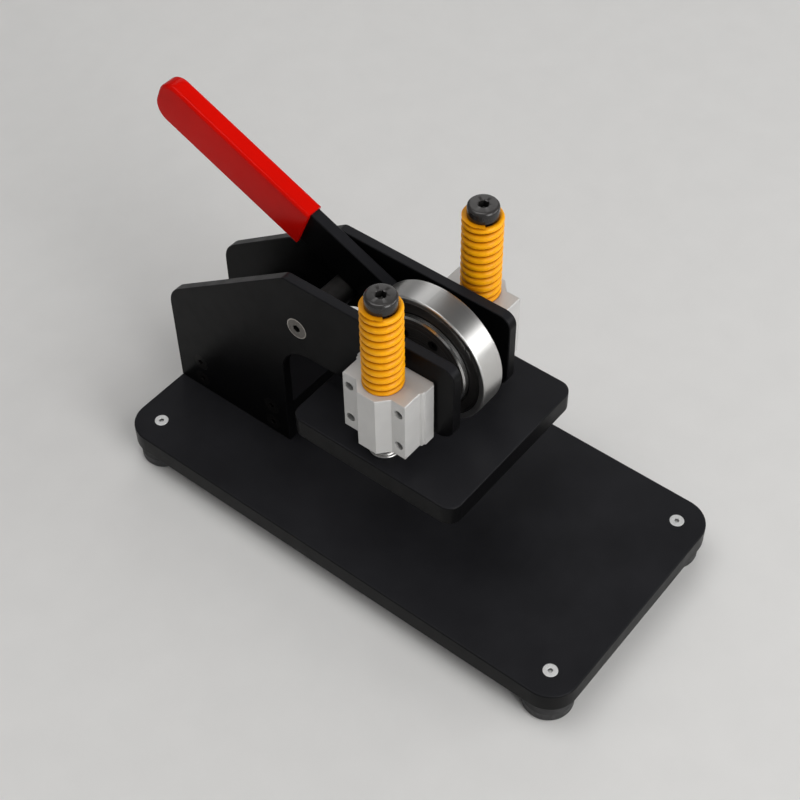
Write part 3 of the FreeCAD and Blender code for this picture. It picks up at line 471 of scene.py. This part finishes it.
class DIECUTTER_OT_blacken_steel(bpy.types.Operator):
    """Blacken screws, circlips and shafts, and turn the two guide posts"""
    bl_idname = "diecutter.blacken_steel"
    bl_label = "Blacken posts and screws"

    def execute(self, context):
        low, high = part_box("right_guide_post")
        middle = (low + high) / 2
        upright = self.oxide(context, "hot_black_oxide_posts", middle, "Z",
                             pale=1.0, rough=0.15, gloss=0.45)
        screws = self.oxide(context, "hot_black_oxide_screws", middle, "Z",
                            pale=0.3, rough=0.34, gloss=0.1)
        coat(nodes_of("black_oxide"), screws)
        low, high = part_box("tie_rod")
        lying = self.oxide(context, "hot_black_oxide_shafts", (low + high) / 2, "X",
                           pale=0.5, rough=0.34, gloss=0.3)
        coat(["tie_rod", "left_spacer", "right_spacer", "eccentric_hub"], lying)
        for side, _ in SIDES:
            node = f"{side}_guide_post"
            low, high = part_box(node)
            middle = (low + high) / 2 / MM
            profile, socket = self.post_profile(
                low.z / MM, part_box("pressure_plate")[1].z / MM, high.z / MM,
                (high.x - low.x) / 2 / MM)
            points, faces = turned(profile, (middle.x, middle.y, 0), "Z", hexagon=socket)
            made = piece(f"{side}_headed_post", points, faces, upright, sharp=30)
            stand_in(made, "press", "black_oxide", node)
        return {"FINISHED"}

    def oxide(self, context, name, centre, axis, pale, rough, gloss):
        """A blackened steel whose turning rings lie round that axis."""
        # Hot black oxide on turned steel: dark, slightly warm, with a soft sheen. Walls are painted darker and
        # faces that look up paler, as painted light and shade. Turning rings are 0.1 mm apart, and drawn at 0.5 mm
        # to show.
        chosen = context.scene.diecutter_coating
        material, tree, shader = new_finish(name, Metallic=0.2, Specular_IOR_Level=gloss)
        rings, _ = tool_marks(tree, 0.5, centre, axis)
        body = tint(tree, shader, grain(tree, 6), shaded(chosen.black_oxide, 0.85 * pale),
                    shaded(chosen.black_oxide, 1.15 * pale))
        # Painted light and shade: walls darker and faces that look up paler.
        body = upward(tree, body, start=0.3, full=0.95, low=0.36, high=1.0)
        tree.links.new(body, shader.inputs["Base Color"])
        vary(tree, shader, "Roughness", grain(tree, 2.5), rough, rough + 0.08)
        emboss(tree, shader, rings, 0.004)
        # Painted shade: sockets and gaps turn dark.
        paint_gap_shade(tree, shader, 4, shaded(chosen.black_oxide, 0.2 * pale))
        return material

    def post_profile(self, bottom, seat, top, head):
        """Half section of a post, and which of its points lie on the hexagon socket."""
        thread, shank, head_height, soft, socket, deep = 5.0, 6.0, 8.0, 2.0, 3.0, 5.0
        end_chamfer, head_chamfer, lead_wide, lead_deep, drill_cone = 0.8, 0.4, 0.65, 0.35, 1.6
        under = top - head_height
        profile = [(0, bottom), (thread - end_chamfer, bottom), (thread, bottom + end_chamfer),
                   (thread, seat), (shank, seat), (shank, under), (head - head_chamfer, under),
                   (head, under + head_chamfer)]
        profile += rounded((head - soft, top - soft), soft, 0, 90, 9)
        profile += [(socket + lead_wide, top), (socket, top - lead_deep),
                    (socket, top - deep), (0, top - deep - drill_cone)]
        first = len(profile) - 3
        return profile, (first, first + 1)


class DIECUTTER_OT_finish_blocks(bpy.types.Operator):
    """Give the bearing blocks the satin of extruded, clear anodised aluminium"""
    bl_idname = "diecutter.finish_blocks"
    bl_label = "Finish bearing blocks"

    def execute(self, context):
        chosen = context.scene.diecutter_metal
        # Extruded aluminium, etched and clear anodised: pale satin with faint die lines along
        # the extrusion. Real lines are under 0.1 mm apart, and are drawn at 0.4 mm to show.
        material, tree, shader = new_finish("clear_anodised_extrusion", Metallic=0.4)
        lines = grain(tree, 0.4, stretch=(1, 1, 60))
        tint(tree, shader, grain(tree, 18), shaded(chosen.aluminium, 0.94),
             shaded(chosen.aluminium, 1.03))
        vary(tree, shader, "Roughness", lines, 0.42, 0.52)
        emboss(tree, shader, lines, 0.003, edge=0.5)
        # Painted shade: counterbores and gaps turn dark.
        paint_gap_shade(tree, shader, 5, shaded(chosen.aluminium, 0.2))
        coat(nodes_of("bare_aluminium"), material)
        return {"FINISHED"}


class DIECUTTER_OT_finish_bright_steel(bpy.types.Operator):
    """Grind the bearing, turn the collars, blacken the keeper, plate screws and set bushes"""
    bl_idname = "diecutter.finish_bright_steel"
    bl_label = "Finish bright steel"

    def execute(self, context):
        chosen = context.scene.diecutter_metal
        low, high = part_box("bearing_outer_ring")
        roller_centre = (low + high) / 2
        # Hardened bearing steel, ground and polished: near mirror with hair lines round the
        # ring. Real grit lines are 0.02 mm wide and are drawn at 0.25 mm to show.
        ground, tree, shader = new_finish("ground_bearing_steel", Metallic=1.0)
        rings, _ = tool_marks(tree, 0.25, roller_centre, "X")
        tint(tree, shader, rings, shaded(chosen.ground_steel, 0.94),
             shaded(chosen.ground_steel, 1.04))
        vary(tree, shader, "Roughness", rings, 0.27, 0.35)
        emboss(tree, shader, rings, 0.0006, edge=0.4)
        coat(nodes_of("ground_steel"), ground)

        # The inner ring's ground side, painted dark as the shade it lies in.
        shaded_inner_ring, tree, shader = new_finish("painted_shade_ring_side", Metallic=1.0)
        rings, _ = tool_marks(tree, 0.3, roller_centre, "X")
        tint(tree, shader, rings, shaded(chosen.ground_steel, 0.1),
             shaded(chosen.ground_steel, 0.16))
        vary(tree, shader, "Roughness", rings, 0.3, 0.42)
        coat(["bearing_inner_ring"], shaded_inner_ring)

        # Free cutting steel off the lathe: bright and a little rough, in rings of 0.4 mm.
        low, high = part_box("right_post_collar")
        turned_steel, tree, shader = new_finish("turned_bright_steel", Metallic=1.0)
        rings, _ = tool_marks(tree, 0.4, (low + high) / 2, "Z")
        tint(tree, shader, rings, shaded(chosen.turned_steel, 0.9),
             shaded(chosen.turned_steel, 1.1))
        vary(tree, shader, "Roughness", rings, 0.24, 0.34)
        emboss(tree, shader, rings, 0.002, edge=0.3)
        for side, _ in SIDES:
            node = f"{side}_post_collar"
            low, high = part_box(node)
            middle = (low + high) / 2 / MM
            profile = self.collar_profile(low.z / MM, high.z / MM, (high.x - low.x) / 2 / MM)
            points, faces = turned(profile, (middle.x, middle.y, 0), "Z")
            made = piece(f"{side}_flanged_collar", points, faces, turned_steel, sharp=35)
            stand_in(made, "press", "turned_steel", node)
            coat([node], turned_steel)

        # The keeper is blackened, and its turned rim is left bright.
        low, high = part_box("keeper_flange")
        rim_wide = 1.1
        keeper, tree, shader = new_finish("blackened_keeper_bright_rim")
        rings, radius = tool_marks(tree, 0.3, (low + high) / 2, "X")
        black = context.scene.diecutter_coating.black_oxide
        tint(tree, shader, grain(tree, 8), shaded(black, 0.6), shaded(black, 0.8))
        mask = bright_rim(tree, shader, radius, (high.z - low.z) / 2 / MM - rim_wide,
                          shaded(chosen.ground_steel, 0.85))
        tree.links.new(mask, shader.inputs["Metallic"])
        vary(tree, shader, "Roughness", rings, 0.22, 0.3)
        emboss(tree, shader, rings, 0.001)
        coat(["keeper_flange"], keeper)

        # Bright zinc plate with clear passivation: pale and finely crystalline. The tie rod's screws are plain
        # stainless steel, greyer and smoother, with a painted highlight on the rim.
        rim_wide = 0.8
        for name, colour, rough, rim, nodes in (
                ("bright_zinc_plate", chosen.zinc, 0.4, None, nodes_of("zinc_steel")),
                ("plain_stainless_steel", chosen.stainless, 0.26, 2.6, ["tie_rod_screws"])):
            screws, tree, shader = new_finish(name, Metallic=1.0)
            tint(tree, shader, grain(tree, 1.5), shaded(colour, 0.92), shaded(colour, 1.05))
            vary(tree, shader, "Roughness", grain(tree, 0.6), rough, rough + 0.1)
            emboss(tree, shader, grain(tree, 0.5), 0.003, edge=0.4)
            # The tie rod's screws get a paler rim, a painted highlight along their edge.
            if rim:
                low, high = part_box(nodes[0])
                _, radius = tool_marks(tree, 1, (low + high) / 2, "X")
                bright_rim(tree, shader, radius, (high.z - low.z) / 2 / MM - rim_wide,
                           shaded(colour, rim))
            # Painted shade: sockets turn dark.
            paint_gap_shade(tree, shader, 3, shaded(colour, 0.1))
            coat(nodes, screws)

        # Sintered bronze: brown yellow, dull, with open pores of about 0.2 mm.
        bronze, tree, shader = new_finish("sintered_bronze", Metallic=1.0)
        tint(tree, shader, grain(tree, 0.5), shaded(chosen.bronze, 0.75),
             shaded(chosen.bronze, 1.1))
        vary(tree, shader, "Roughness", grain(tree, 0.5), 0.35, 0.5)
        coat(nodes_of("bronze"), bronze)
        return {"FINISHED"}

    def collar_profile(self, bottom, top, flange):
        """Half section of a collar: bore, flange with a full round rim, and body above it."""
        bore, body, rim, soft, chamfer = 6.1, 8.3, 0.9, 0.6, 0.3
        profile = [(bore, bottom), (flange - rim, bottom)]
        profile += rounded((flange - rim, bottom + rim), rim, -90, 90, 12)[1:]
        profile += [(body + chamfer, bottom + 2 * rim), (body, bottom + 2 * rim + chamfer)]
        profile += rounded((body - soft, top - soft), soft, 0, 90, 5)
        return profile + [(bore + chamfer, top), (bore, top - chamfer)]


class DIECUTTER_OT_mould_rubber(bpy.types.Operator):
    """Mould the four feet and the two bearing seals, and finish the ball cage"""
    bl_idname = "diecutter.mould_rubber"
    bl_label = "Mould feet and seals"

    def execute(self, context):
        chosen = context.scene.diecutter_rubber
        # Moulded natural rubber: dull black with a grey bloom in patches and a sanded mould's
        # grain of 0.4 mm.
        rubber, tree, shader = new_finish("moulded_foot_rubber", IOR=1.52)
        tint(tree, shader, grain(tree, 7), shaded(chosen.foot, 0.85), shaded(chosen.foot, 1.5))
        vary(tree, shader, "Roughness", grain(tree, 3), 0.55, 0.72)
        emboss(tree, shader, grain(tree, 0.4), 0.01)
        for name in nodes_of("foot_rubber"):
            low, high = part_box(name)
            middle = (low + high) / 2 / MM
            profile = self.foot_profile(chosen, high.z / MM, low.z / MM)
            points, faces = turned(profile, (middle.x, middle.y, 0), "Z")
            _, row, side = name.split("_")
            made = piece(f"{row}_{side}_rubber_foot", points, faces, rubber)
            stand_in(made, "frame", "foot_rubber", name)

        # Nitrile rubber bonded to a steel washer: smooth, deep black, softly shining.
        nitrile, tree, shader = new_finish("moulded_nitrile_seal", IOR=1.52)
        tint(tree, shader, grain(tree, 5), shaded(chosen.seal, 0.8), shaded(chosen.seal, 1.3))
        vary(tree, shader, "Roughness", grain(tree, 2), 0.42, 0.5)
        emboss(tree, shader, grain(tree, 0.6), 0.001)
        low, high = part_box("bearing_outer_ring")
        middle = (low + high) / 2 / MM
        for side, sign in SIDES:
            low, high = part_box(f"{side}_bearing_seal")
            outer = (high.z - low.z) / 2 / MM
            face = max(abs(low.x), abs(high.x)) / MM
            thick = (high.x - low.x) / MM
            profile = self.seal_profile(outer, face, thick, sign)
            points, faces = turned(profile, (0, middle.y, middle.z), "X", steps=144)
            made = piece(f"{side}_moulded_seal", points, faces, nitrile, sharp=25)
            stand_in(made, "roller", "seal_rubber", f"{side}_bearing_seal")

        # Injection moulded nylon: cream, a little waxy, faint flow marks.
        nylon, tree, shader = new_finish("moulded_nylon_cage", IOR=1.53)
        tint(tree, shader, grain(tree, 6), shaded(chosen.cage, 0.92), shaded(chosen.cage, 1.05))
        vary(tree, shader, "Roughness", grain(tree, 2), 0.38, 0.5)
        coat(nodes_of("cage_polymer"), nylon)
        return {"FINISHED"}

    def foot_profile(self, chosen, top, bottom):
        """Half section of a foot: rounded body, mould line, ribs under it and screw recess."""
        radius, soft = chosen.foot_d / 2, chosen.foot_round
        bore, recess, recess_depth, recess_chamfer, top_round = 2.55, 7.0, 9.0, 0.3, 0.6
        groove, groove_depth, groove_slope = 0.85, 0.5, 0.15
        line, proud, line_root, line_top = (top + bottom) / 2, 0.12, 0.25, 0.1
        profile = [(bore, top), (radius - top_round, top)]
        profile += rounded((radius - top_round, top - top_round), top_round, 90, 0, 4)[1:]
        profile += [(radius, line + line_root), (radius + proud, line + line_top),
                    (radius + proud, line - line_top), (radius, line - line_root)]
        profile += rounded((radius - soft, bottom + soft), soft, 0, -90, 8)
        span = (radius - soft - recess) / max(1, chosen.rib_count)
        for rib in range(chosen.rib_count):
            outer = radius - soft - (rib + 0.15) * span
            profile += [(outer, bottom), (outer - groove_slope, bottom + groove_depth),
                        (outer - groove + groove_slope, bottom + groove_depth),
                        (outer - groove, bottom)]
        profile += [(recess + recess_chamfer, bottom), (recess, bottom + recess_chamfer),
                    (recess, bottom + recess_depth), (bore, bottom + recess_depth)]
        return profile

    def seal_profile(self, outer, face, thick, sign):
        """Half section of a seal: rim bead, flat sunk band and a thin raised inner lip."""
        inner = 33.4
        steps = [(outer, 0.25), (outer - 0.3, 0.0), (outer - 1.1, 0.0), (outer - 1.7, 0.4),
                 (outer - 5.4, 0.4), (outer - 6.2, 0.1), (inner + 0.25, 0.1), (inner, 0.35)]
        outside = [(radius, sign * (face - sunk)) for radius, sunk in steps]
        inside = [(inner, sign * (face - thick)), (outer, sign * (face - thick))]
        return outside + inside


class DIECUTTER_OT_wind_springs(bpy.types.Operator):
    """Wind the two die springs from oval wire and grind their ends"""
    bl_idname = "diecutter.wind_springs"
    bl_label = "Wind springs"

    def execute(self, context):
        chosen = context.scene.diecutter_spring
        # Baked enamel on spring steel: strong amber, softly glossy, with a faint orange peel
        # of 1.5 mm.
        enamel, tree, shader = new_finish("baked_amber_enamel", IOR=1.5,
                                          Specular_IOR_Level=0.18)
        tint(tree, shader, grain(tree, 4), shaded(chosen.colour, 0.93),
             shaded(chosen.colour, 1.05))
        vary(tree, shader, "Roughness", grain(tree, 2), 0.28, 0.38)
        emboss(tree, shader, grain(tree, 1.5), 0.02)
        # Painted shade: the gaps between the coils turn deep amber.
        paint_gap_shade(tree, shader, 8, opaque(chosen.shade), clear=1.0)
        # The springs stand this far above their blocks, so that no two faces coincide.
        air = 0.02
        for side, _ in SIDES:
            node = f"{side}_spring"
            post_low, post_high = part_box(f"{side}_guide_post")
            block_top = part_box(f"{side}_bearing_block")[1].z / MM
            bottom, top = block_top + air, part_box(node)[1].z / MM
            centre = (post_low + post_high) / 2 / MM
            points, faces = self.coil(chosen, centre, bottom, top)
            made = piece(f"{side}_die_spring", points, faces, enamel, sharp=50)
            stand_in(made, "frame", "spring_paint", node)
            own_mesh(made)
        return {"FINISHED"}

    def wire_section(self, chosen):
        """Outline of the wire, as (outward, upward) from its middle."""
        outline = []
        for angle in range(0, 360, 15):
            c, s = math.cos(math.radians(angle)), math.sin(math.radians(angle))
            outline.append((
                math.copysign(abs(c) ** chosen.wire_square, c) * chosen.wire_wide / 2,
                math.copysign(abs(s) ** chosen.wire_square, s) * chosen.wire_high / 2))
        return outline

    def coil(self, chosen, centre, bottom, top):
        """A closed and ground coil: heights past the ground planes are flattened on to them."""
        section = self.wire_section(chosen)
        middle = (chosen.outer_d - chosen.wire_wide) / 2
        closed = chosen.closed_pitch
        start, finish = top + chosen.ground_off, bottom - chosen.ground_off
        open_turns = chosen.turns - 2
        pitch = (start - finish - 2 * closed) / open_turns
        count = round(chosen.turns * chosen.steps)
        points, faces = [], []
        for step in range(count + 1):
            turn = chosen.turns * step / count
            inner = min(max(turn - 1, 0), open_turns)
            level = start - closed * (turn - inner) - pitch * inner
            angle = chosen.tip - 2 * math.pi * turn
            # Where the turns lie close, the wire is thinner, so that the least gap stays.
            opened = min(max(min(turn, chosen.turns - turn) - 1, 0), 1)
            room = closed + (pitch - closed) * opened - chosen.least_gap
            share = min(1.0, room / chosen.wire_high)
            for outward, above in section:
                radius = middle + outward
                height = min(max(level + above * share, bottom), top)
                points.append((centre.x + radius * math.cos(angle),
                               centre.y + radius * math.sin(angle), height))
        size = len(section)
        for step in range(count):
            for index in range(size):
                after = (index + 1) % size
                faces.append((step * size + index, step * size + after,
                              (step + 1) * size + after, (step + 1) * size + index))
        faces.append(tuple(range(size)))
        faces.append(tuple(range(count * size, (count + 1) * size)))
        return points, faces


class DIECUTTER_OT_dip_grip(bpy.types.Operator):
    """Dip the lever's end in red vinyl"""
    bl_idname = "diecutter.dip_grip"
    bl_label = "Dip grip"

    def execute(self, context):
        chosen = context.scene.diecutter_grip
        # Plastisol vinyl, hot dipped and baked: saturated red with soft gloss and slow waves
        # of about 14 mm, where the liquid ran before it set.
        vinyl, tree, shader = new_finish("hot_dipped_vinyl", IOR=1.53,
                                         Specular_IOR_Level=0.07)
        tint(tree, shader, grain(tree, 25), shaded(chosen.colour, 0.94),
             shaded(chosen.colour, 1.04))
        vary(tree, shader, "Roughness", grain(tree, 5), 0.14, 0.2)
        emboss(tree, shader, grain(tree, 14, detail=1.0), 0.06)
        low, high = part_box("lever_grip")
        bar_low, bar_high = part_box("lever_arm")
        outer, faces, outer_mouth = self.skin(
            chosen, low.x / MM, high.x / MM, sunk=0, soft=chosen.edge_round)
        inner, inner_faces, inner_mouth = self.skin(
            chosen, bar_low.x / MM, bar_high.x / MM, sunk=chosen.wall, soft=0.5)
        faces += [tuple(len(outer) + index for index in face) for face in inner_faces]
        inner_mouth = [len(outer) + index for index in inner_mouth]
        for index, here in enumerate(outer_mouth):
            after = (index + 1) % len(outer_mouth)
            faces.append((here, outer_mouth[after], inner_mouth[after], inner_mouth[index]))
        made = piece("dipped_grip", outer + inner, faces, vinyl, sharp=50)
        lip = made.modifiers.new("lip", "BEVEL")
        lip.width, lip.segments, lip.angle_limit = 0.5 * MM, 3, math.radians(60)
        stand_in(made, "lever", "grip_vinyl", "lever_grip")
        return {"FINISHED"}

    def skin(self, chosen, left, right, sunk, soft):
        """One skin of the sleeve and its mouth's loop: an outline stacked from left to right.

        It lies sunk under the sleeve's surface, and soft is the radius of its long edges.
        """
        pivot = next(joint for joint in frame["joints"]
                     if joint["name"] == "lever_pivot")["pos_m"]
        c, s = math.cos(chosen.lever_angle), math.sin(chosen.lever_angle)
        levels = [(left + soft - soft * math.cos(math.radians(a)),
                   soft - soft * math.sin(math.radians(a))) for a in range(0, 91, 10)]
        levels += [(right + left - across, inset) for across, inset in reversed(levels)]
        points, faces = [], []
        for across, inset in levels:
            for along, rise in self.outline(chosen, sunk, inset):
                points.append((across, pivot[1] / MM + along * c - rise * s,
                               pivot[2] / MM + along * s + rise * c))
        rows = len(levels)
        count = len(points) // rows
        for row in range(rows - 1):
            for index in range(count - 1):
                here = row * count + index
                faces.append((here, here + 1, here + count + 1, here + count))
        for row in (0, rows - 1):
            for index in range(count // 2):
                near, far = row * count + index, row * count + count - 1 - index
                if far - near > 2:
                    faces.append((near, near + 1, far - 1, far))
                elif far - near == 2:
                    faces.append((near, near + 1, far))
        mouth = [row * count for row in range(rows)]
        mouth += [row * count + count - 1 for row in reversed(range(rows))]
        return points, faces, mouth

    def outline(self, chosen, sunk, inset):
        """Round the sleeve from its mouth: along the under side, round the end, back on top."""
        steps = 40
        radius, inset = chosen.end_round, sunk + inset
        low, high, end = chosen.low + inset, chosen.high - inset, chosen.reach - inset
        straight = [chosen.start + (chosen.reach - radius - chosen.start) * n / steps
                    for n in range(steps)]
        line = [(along, low) for along in straight]
        line += rounded((chosen.reach - radius, chosen.low + radius), radius - inset, -90, 0, 12)
        rise = (high - radius + inset) - (low + radius - inset)
        line += [(end, chosen.low + radius + rise * n / 6) for n in range(1, 6)]
        line += rounded((chosen.reach - radius, chosen.high - radius), radius - inset, 0, 90, 12)
        line += [(along, high) for along in reversed(straight)]
        return line


class DIECUTTER_OT_set_studio(bpy.types.Operator):
    """Lay the pale floor, hang the soft lights and place the camera"""
    bl_idname = "diecutter.set_studio"
    bl_label = "Set studio"

    lamps = (
        # name, direction from the machine, distance, width, height, radiance
        ("front_softbox", (0.54, -0.77, 0.34), 3.0, 1.8, 1.2, 3.2),
        ("right_panel", (0.73, 0.45, 0.51), 3.2, 1.9, 2.0, 1.05),
        ("high_key", (-0.1, 0.2, 0.96), 3.6, 2.4, 2.4, 2.5),
        ("front_fill", (-0.12, -0.72, 0.68), 3.6, 2.4, 2.0, 2.6),
        ("front_left_key", (-0.2, -0.93, 0.32), 3.2, 1.6, 1.6, 5.6),
        ("left_bounce", (-0.93, -0.2, 0.3), 3.2, 2.0, 1.6, 0.2),
    )

    def execute(self, context):
        chosen = context.scene.diecutter_studio
        self.lay_floor(chosen)
        self.light_world(context.scene)
        target = Vector(chosen.target)
        for name, direction, distance, width, height, radiance in self.lamps:
            lamp = bpy.data.lights.new(name, "AREA")
            lamp.shape, lamp.size, lamp.size_y = "RECTANGLE", width, height
            lamp.energy = radiance * math.pi * width * height * chosen.light
            holder = bpy.data.objects.new(name, lamp)
            toward = Vector(direction).normalized()
            holder.location = target + toward * distance
            holder.rotation_mode = "QUATERNION"
            holder.rotation_quaternion = (-toward).to_track_quat("-Z", "Y")
            holder.visible_camera = False
            context.scene.collection.objects.link(holder)
        self.place_camera(context.scene, chosen, target)
        context.scene.view_settings.view_transform = "Standard"
        return {"FINISHED"}

    def lay_floor(self, chosen):
        # Matt painted board: pale, even, with the faint mottle of a roller.
        material, tree, shader = new_finish("rolled_matt_paint", Roughness=0.85)
        tint(tree, shader, grain(tree, 30), shaded(chosen.floor, 0.985),
             shaded(chosen.floor, 1.01))
        emboss(tree, shader, grain(tree, 1.5), 0.02)
        height = cad_box[0].z / MM
        corners = [(x * FLOOR_HALF, y * FLOOR_HALF, height)
                   for x, y in ((-1, -1), (1, -1), (1, 1), (-1, 1))]
        piece("floor", corners, [(0, 1, 2, 3)], material)

    def light_world(self, scene):
        """Pale walls and a darker ceiling, which give the bright metal something to mirror."""
        world = bpy.data.worlds.new("studio")
        world.use_nodes = True
        tree = world.node_tree
        place = add(tree, "TexCoord")
        split = add(tree, "SeparateXYZ", inputs={0: place.outputs["Generated"]})
        ramp = add(tree, "ValToRGB", inputs={0: split.outputs["Z"]})
        for stop, (level, shade) in zip(ramp.color_ramp.elements, ((0.0, 0.36), (0.55, 0.08))):
            stop.position, stop.color = level, (shade, shade, shade, 1)
        tree.links.new(ramp.outputs[0], tree.nodes["Background"].inputs["Color"])
        scene.world = world

    def place_camera(self, scene, chosen, target):
        a, e = chosen.azimuth, chosen.elevation
        back = Vector((math.sin(a) * math.cos(e), -math.cos(a) * math.cos(e), math.sin(e)))
        level_right = Vector((0, 0, 1)).cross(back).normalized()
        level_up = back.cross(level_right)
        c, s = math.cos(chosen.roll), math.sin(chosen.roll)
        right, up = level_right * c + level_up * s, level_up * c - level_right * s
        turn = Matrix((right, up, back)).transposed().to_4x4()
        camera = bpy.data.cameras.new("camera")
        camera.lens, camera.sensor_width = chosen.lens, 36
        camera.clip_start, camera.clip_end = 0.05, 50
        holder = bpy.data.objects.new("camera", camera)
        holder.matrix_world = Matrix.Translation(target + back * chosen.distance) @ turn
        scene.collection.objects.link(holder)
        scene.camera = holder


SETTINGS = {
    "diecutter_coating": CoatingSettings, "diecutter_metal": MetalSettings,
    "diecutter_spring": SpringSettings, "diecutter_grip": GripSettings,
    "diecutter_rubber": RubberSettings, "diecutter_studio": StudioSettings,
}
OPERATORS = (
    DIECUTTER_OT_coat_plates, DIECUTTER_OT_blacken_steel, DIECUTTER_OT_finish_blocks,
    DIECUTTER_OT_finish_bright_steel, DIECUTTER_OT_mould_rubber, DIECUTTER_OT_wind_springs,
    DIECUTTER_OT_dip_grip, DIECUTTER_OT_set_studio,
)


class DIECUTTER_PT_panel(bpy.types.Panel):
    """Lists the steps that dress the machine, and their settings"""
    bl_label = "Die cutting machine"
    bl_space_type = "VIEW_3D"
    bl_region_type = "UI"
    bl_category = "Die cutter"

    def draw(self, context):
        for operator in OPERATORS:
            self.layout.operator(operator.bl_idname)
        for name, group in SETTINGS.items():
            box = self.layout.box()
            for field in group.__annotations__:
                box.prop(getattr(context.scene, name), field)


def register():
    for group in (*SETTINGS.values(), *OPERATORS, DIECUTTER_PT_panel):
        bpy.utils.register_class(group)
    for name, group in SETTINGS.items():
        setattr(bpy.types.Scene, name, PointerProperty(type=group))


def unregister():
    for name in SETTINGS:
        delattr(bpy.types.Scene, name)
    for group in reversed((*SETTINGS.values(), *OPERATORS, DIECUTTER_PT_panel)):
        bpy.utils.unregister_class(group)


def main():
    register()
    for operator in OPERATORS:
        family, action = operator.bl_idname.split(".")
        getattr(getattr(bpy.ops, family), action)()


if __name__ == "__main__":
    main()
